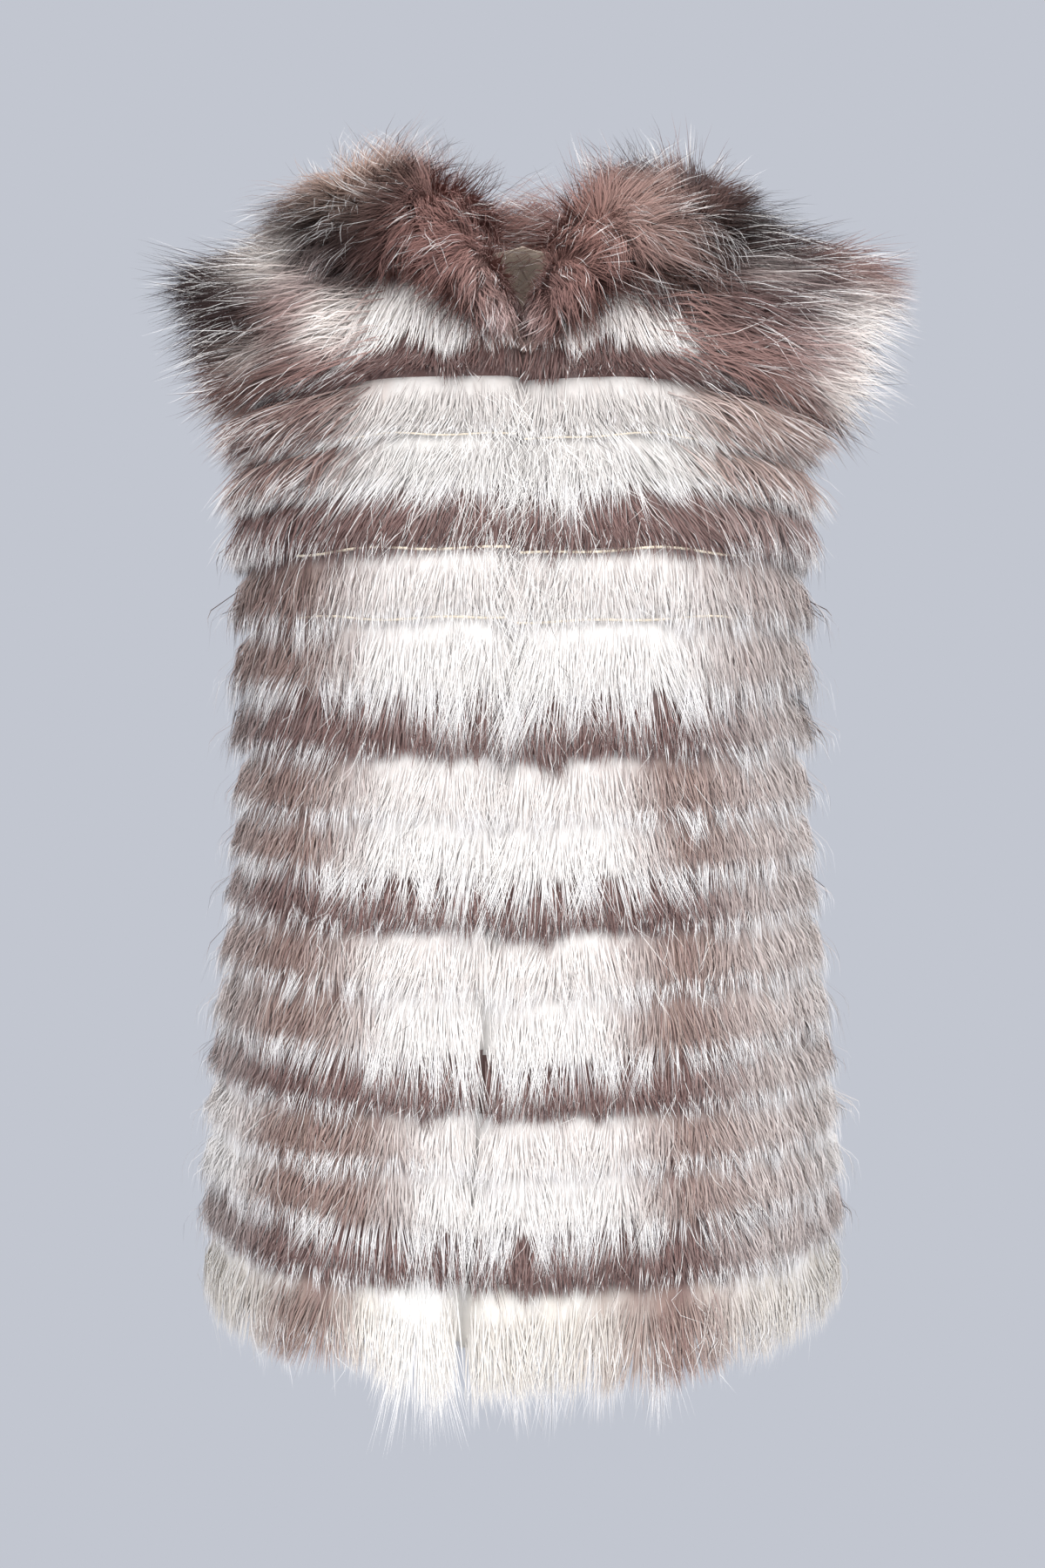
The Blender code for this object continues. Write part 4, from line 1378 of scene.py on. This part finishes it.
def collar_hair():
    hair = Hair()
    grid, outs = collar_core()
    middle = grid.mean(axis=1)
    whole = np.concatenate((grid, grid[:, :1]), axis=1)
    # the core under the hair, darkened as painted shade
    hair.sheet(whole, patch_tints(whole) * CORE_PAINTED_SHADE, 0)
    for band, coat in enumerate((COLLAR_SOFT, COLLAR_GUARD), start=1):
        roots, normals, rows = grid_scatter(grid, coat.count)
        turned = np.sum(normals * (roots - middle[rows]), axis=1) < 0
        normals = np.where(turned[:, None], -normals, normals)
        first, last = collar_ways(roots, normals, outs[rows])
        to_end = np.minimum(rows, len(grid) - 1 - rows) / END_SECTIONS
        shortening = between(END_LENGTH, 1.0, smooth(0, 1, to_end))
        facing = unit(normals + first * FACING_LEAN)
        lay_coat(hair, coat, roots, facing, first, last, shortening, patch_tints, band)
    return hair.make("collar_fur")


# Armholes
Way = namedtuple("Way", "out aside down")
FIRST_WAYS = (Way(0.50, 0.85, 0.10), Way(0.40, 0.65, 0.45))  # at the shoulder, and lower down
LAST_WAYS = (Way(0.05, 0.90, 0.50), Way(0.05, 0.54, 0.88))
ARMHOLE_SOFT = Coat(5400, 0.034, 0.072, 0.00085, 170, 0.42, 0.38, None)
ARMHOLE_GUARD = Coat(3000, 0.050, 0.096, 0.00042, 190, 0.55, 0.46, 0.16)
CAP_LENGTH = {LEFT: 1.25, RIGHT: 1.0}
CAP_SHORTENING = 0.35
ARMHOLE_LOW = 0.70  # the share of the yoke's height that its hair grows on, from the shoulder seam down
SHOULDER_INSIDE = 0.30  # at the shoulder seam it starts this far across the panel
ARMHOLE_INSIDE = 0.45  # and lower down this far
ARMHOLE_ROOT_OUT = 0.006
ARMHOLE_FACING = 0.9
ARMHOLE_FACING_UP = 0.2
CAP_POWER = 1.5  # it is thicker by the shoulder seam
CAP_INSIDE_ROWS = (-1.0, -0.5)
CAP_ROWS = (-1.0, 0.2)
ROW_END_SOFT = Coat(620, 0.70, 1.00, 0.00085, 30, 0.35, 0.18, None)  # its lengths are shares of the way down
ROW_END_GUARD = Coat(480, 0.92, 1.20, 0.00040, 40, 0.50, 0.22, 0.72)
ROW_END_ROOTS = (0.0, 0.70)
ROW_END_TOP = -0.5
ROW_END_HANG = 0.26
ROW_END_FALL = (0.80, 1.00)  # how much the hair falls for its length, at the shoulder and at the underarm
ROW_END_LOW = (0.6, 2.4)  # and how low its ways point there
ROW_END_INSIDE = 0.50
ROW_END_REACH = 0.022
ROW_END_FROST = {RIGHT: -1.5, LEFT: 0.30}  # as seen from the front, and turned about at the back
ROW_END_SILVER = {FIRST_PALE: 0.40, SECOND_PALE: 0.72, BROWN: 0.72}
ROW_END_ROWS = tuple(strip_row(strip) for strip in range(UNDERARM_SEAM))


def armhole_way(ways, normals, low, side):
    """Way of the hair past the armhole: out and a little down at the shoulder, and more down lower."""
    out, aside, down = (between(upper, lower, low[:, None]) for upper, lower in zip(*ways))
    return unit(normals * out + aside * np.array((side, 0.0, 0.0)) + down * np.array((0.0, 0.0, -1.0)))


def row_end_tints(row, pale, frost):
    """Function for the colours of a row's hair at its armhole end."""
    def tints_of(spines):
        tints = coat_tints(row, pale, np.full(len(pale), frost))
        return np.repeat(tints[:, None], spines.shape[1], axis=1)
    return tints_of


def lay_armhole(hair, ground, coat, v, u, low, shortening, tints_of, band):
    """One coat of hair at the armhole, from places on the ground."""
    normals = ground.normal(v, u)
    first, last = (armhole_way(ways, normals, low, ground.side) for ways in (FIRST_WAYS, LAST_WAYS))
    roots = ground.at(v, u, np.full(coat.count, ARMHOLE_ROOT_OUT))
    facing = unit(normals + (0, ARMHOLE_FACING * ground.facing, ARMHOLE_FACING_UP))
    lay_coat(hair, coat, roots, facing, first, last, shortening, tints_of, band)


def shoulder_hair(hair, ground, band):
    """The long hair over the shoulder."""
    for coat in (ARMHOLE_SOFT, ARMHOLE_GUARD):
        count = coat.count
        v = -1 + ARMHOLE_LOW * chance.random(count) ** CAP_POWER
        inside = between(SHOULDER_INSIDE, ARMHOLE_INSIDE, smooth(*CAP_INSIDE_ROWS, v))
        u = 1 - (1 - inside) * chance.random(count) * chance.random(count)
        low = smooth(*CAP_ROWS, v)
        shortening = (1 - CAP_SHORTENING * low) * CAP_LENGTH[ground.side]
        lay_armhole(hair, ground, coat, v, u, low, shortening, patch_tints, band)


def row_end_hair(hair, ground, row, band):
    """Hair at the armhole end of a row, which stands out past the leather's edge."""
    guard = ROW_END_GUARD._replace(silver=ROW_END_SILVER[row.kind])
    frost = ROW_END_FROST[ground.side * -ground.facing]
    for coat in (ROW_END_SOFT, guard):
        count = coat.count
        v = row.top + (row.bottom - row.top) * chance.uniform(*ROW_END_ROOTS, count)
        u = 1 - (1 - ROW_END_INSIDE) * chance.random(count) * chance.random(count)
        low = smooth(ROW_END_TOP, UNDERARM_SEAM, v)
        outer_x = ground.at(v, u, np.zeros(count))[:, 0] + ground.side * ROW_END_REACH
        tints_of = row_end_tints(row, pale_share(row, outer_x, ground.facing), frost)
        lengths = (row.bottom + ROW_END_HANG - v) * STRIP_HEIGHT / between(*ROW_END_FALL, low)
        lay_armhole(hair, ground, coat, v, u, between(*ROW_END_LOW, low), lengths, tints_of, band)


def armhole_hair(name, side):
    hair = Hair()
    for half, ground in enumerate((grounds[FRONT, side], grounds[BACK, side])):
        first_band = half * (len(ROW_END_ROWS) + 2)
        shoulder_hair(hair, ground, first_band)
        end_rows = (yoke_rows(ground)[2],) + ROW_END_ROWS
        for band, row in enumerate(end_rows, start=first_band + 1):
            row_end_hair(hair, ground, row, band)
    return hair.make(name)


# Leather

# Creases: soft troughs between two places, given as strips down and the share across
Crease = namedtuple("Crease", "facing side start end half_width depth")
CREASES = (
    Crease(FRONT, LEFT, (3.2, 0.86), (7.0, 0.45), 0.016, 0.0030),
    Crease(FRONT, LEFT, (9.0, 0.80), (13.5, 0.62), 0.014, 0.0025),
    Crease(FRONT, RIGHT, (3.2, 0.86), (6.2, 0.40), 0.017, 0.0032),
    Crease(FRONT, RIGHT, (8.5, 0.30), (13.0, 0.45), 0.014, 0.0024),
    Crease(BACK, LEFT, (3.4, 0.86), (7.5, 0.35), 0.018, 0.0034),
    Crease(BACK, LEFT, (6.0, 0.12), (8.0, 0.60), 0.018, 0.0026),
    Crease(BACK, RIGHT, (3.4, 0.86), (8.2, 0.40), 0.018, 0.0032),
    Crease(BACK, RIGHT, (7.0, 0.14), (8.6, 0.70), 0.018, 0.0024),
)
CREASE_ROW = 8.0  # the row whose breadth gives the creases' scale across


def creased(ground):
    """The leather's grid of points: every second row of the ground, with its creases pressed in."""
    every_second = slice(0, ground.leather_rows, 2)
    scale = np.array((STRIP_HEIGHT, ground.breadth(CREASE_ROW)))
    across = np.linspace(0, 1, COLUMNS + 1)
    spread = np.stack(np.meshgrid(ground.rows[every_second], across, indexing="ij"), axis=-1) * scale
    depth = np.zeros(spread.shape[:2])
    for crease in CREASES:
        if (crease.facing, crease.side) == (ground.facing, ground.side):
            start, end = np.array(crease.start) * scale, np.array(crease.end) * scale
            along = np.clip((spread - start) @ (end - start) / np.sum((end - start) ** 2), 0, 1)
            gap = np.linalg.norm(spread - start - along[..., None] * (end - start), axis=-1)
            depth = depth + crease.depth * hump(gap, 0, crease.half_width)
    return ground.points[every_second] - ground.normals[every_second] * depth[..., None]


def leather_shell(name, points, flips):
    """A thin wall of leather on the ground's form."""
    rows, columns = points.shape[:2]
    corner = grid_corners(rows, columns)
    faces = np.stack((corner, corner + columns, corner + columns + 1, corner + 1), axis=1)
    if flips:
        faces = faces[:, ::-1]
    mesh = bpy.data.meshes.new(name)
    mesh.from_pydata(points.reshape(-1, 3).tolist(), [], faces.tolist())
    mesh.shade_smooth()
    mesh.materials.append(leather)
    shell = bpy.data.objects.new(name, mesh)
    bpy.context.scene.collection.objects.link(shell)
    wall = shell.modifiers.new("Leather", "SOLIDIFY")
    wall.thickness = LEATHER
    wall.offset = -1
    return shell


# Stage: a plain pale floor far below the held vest, soft lights and a plain grey-blue surround
FLOOR_RADIUS = 2.2
FLOOR_HEIGHT = -1.40
SURROUND = srgb(194, 198, 208)
WARM = (1.0, 0.97, 0.935)
AIM = Vector((0.0, 0.0, -0.30))
Lamp = namedtuple("Lamp", "name place size power")
LAMPS = (
    Lamp("key", (-1.4, -2.6, 1.0), 2.4, 62),
    Lamp("fill", (1.6, -2.5, 0.5), 2.4, 60),
    Lamp("top", (0.0, -0.6, 2.2), 2.2, 40),
    Lamp("back_left", (-1.6, 2.2, 1.0), 2.0, 55),
    Lamp("back_right", (1.6, 2.2, 0.6), 2.0, 55),
)

# The photograph's view: the scale at the middle of the vest, and how far down the origin lies in the picture
PHOTO_HEIGHT = 1800
PIXEL = 0.00052
ORIGIN_PIXEL_Y = 330
CAMERA_DISTANCE = 3.0
SENSOR = 36.0


def make_camera():
    camera = bpy.data.objects.new("camera", bpy.data.cameras.new("camera"))
    bpy.context.scene.collection.objects.link(camera)
    camera.location = (0.0, -CAMERA_DISTANCE, (ORIGIN_PIXEL_Y - PHOTO_HEIGHT / 2) * PIXEL)
    camera.rotation_euler = (QUARTER_TURN, 0.0, 0.0)
    camera.data.sensor_width = SENSOR
    camera.data.sensor_height = SENSOR
    camera.data.lens = SENSOR * CAMERA_DISTANCE / (PHOTO_HEIGHT * PIXEL)
    bpy.context.scene.camera = camera


def make_floor():
    place = (0, 0, FLOOR_HEIGHT)
    bpy.ops.mesh.primitive_circle_add(vertices=96, radius=FLOOR_RADIUS, fill_type="NGON", location=place)
    floor = bpy.context.object
    floor.name = "floor"
    material, nodes, links = new_material("pale_floor")
    noise = nodes.new("ShaderNodeTexNoise")
    set_inputs(noise, {"Scale": 4.0})
    uneven_colour(nodes, links, noise, srgb(150, 153, 160), srgb(158, 161, 168))
    set_inputs(nodes["Principled BSDF"], {"Roughness": 0.9})
    floor.data.materials.append(material)


def make_lights():
    bpy.context.scene.view_settings.view_transform = "Standard"
    world = bpy.data.worlds.new("surround")
    world.use_nodes = True
    set_inputs(world.node_tree.nodes["Background"], {"Color": (*SURROUND, 1), "Strength": 1.0})
    bpy.context.scene.world = world
    for lamp in LAMPS:
        light = bpy.data.lights.new(lamp.name, "AREA")
        light.shape = "DISK"
        light.size = lamp.size
        light.energy = lamp.power
        light.color = WARM
        stand = bpy.data.objects.new(lamp.name, light)
        stand.location = lamp.place
        stand.rotation_euler = (AIM - Vector(lamp.place)).to_track_quat("-Z", "Y").to_euler()
        bpy.context.scene.collection.objects.link(stand)


# The vest
UPPER_STRIPS = range(0, 8)
LOWER_STRIPS = range(8, STRIPS)
PANELS = {
    "left_front": (grounds[FRONT, LEFT],),
    "right_front": (grounds[FRONT, RIGHT],),
    "back": (grounds[BACK, LEFT], grounds[BACK, RIGHT]),
}
Cut = namedtuple("Cut", "breadth length area")  # of the leather, in metres and square metres


def place_piece(piece, slot, *nodes):
    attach(piece, "root")
    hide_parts(*nodes)


def panel_shell(panel, halves):
    """A panel's leather: one half panel, or the two of the back joined at the centre."""
    points = creased(halves[0])
    if len(halves) == 2:
        points = np.concatenate((points[:, ::-1], creased(halves[1])[:, 1:]), axis=1)
    shell = leather_shell(f"{panel}_leather", points, panel == "right_front")
    place_piece(shell, "leather", panel)
    return shell


def panel_furs(panel, halves):
    """The fur of a panel's upper strips with its yoke, and of its lower strips."""
    pieces = []
    for part, strips in (("upper", UPPER_STRIPS), ("lower", LOWER_STRIPS)):
        hair = Hair()
        nodes = [f"{panel}_strip_{strip + 1:02d}" for strip in strips]
        if part == "upper":
            nodes.append(f"{panel}_yoke")
        for ground in halves:
            rows = [strip_row(strip) for strip in strips]
            if part == "upper":
                rows += yoke_rows(ground)
            for band, row in enumerate(rows):
                row_hair(hair, ground, row, band)
        pieces.append(hair.make(f"{panel}_{part}_fur"))
        place_piece(pieces[-1], "pale_fur", *nodes)
    return pieces


make_camera()
make_floor()
make_lights()
shells = {panel: panel_shell(panel, halves) for panel, halves in PANELS.items()}
furs = {panel: panel_furs(panel, halves) for panel, halves in PANELS.items()}
for panel, piece, node in (
    ("back", collar_hair(), "collar"),
    ("left_front", armhole_hair("left_cap_fur", LEFT), "left_armhole_fur"),
    ("right_front", armhole_hair("right_cap_fur", RIGHT), "right_armhole_fur"),
):
    furs[panel].append(piece)
    place_piece(piece, "brown_fur", node)
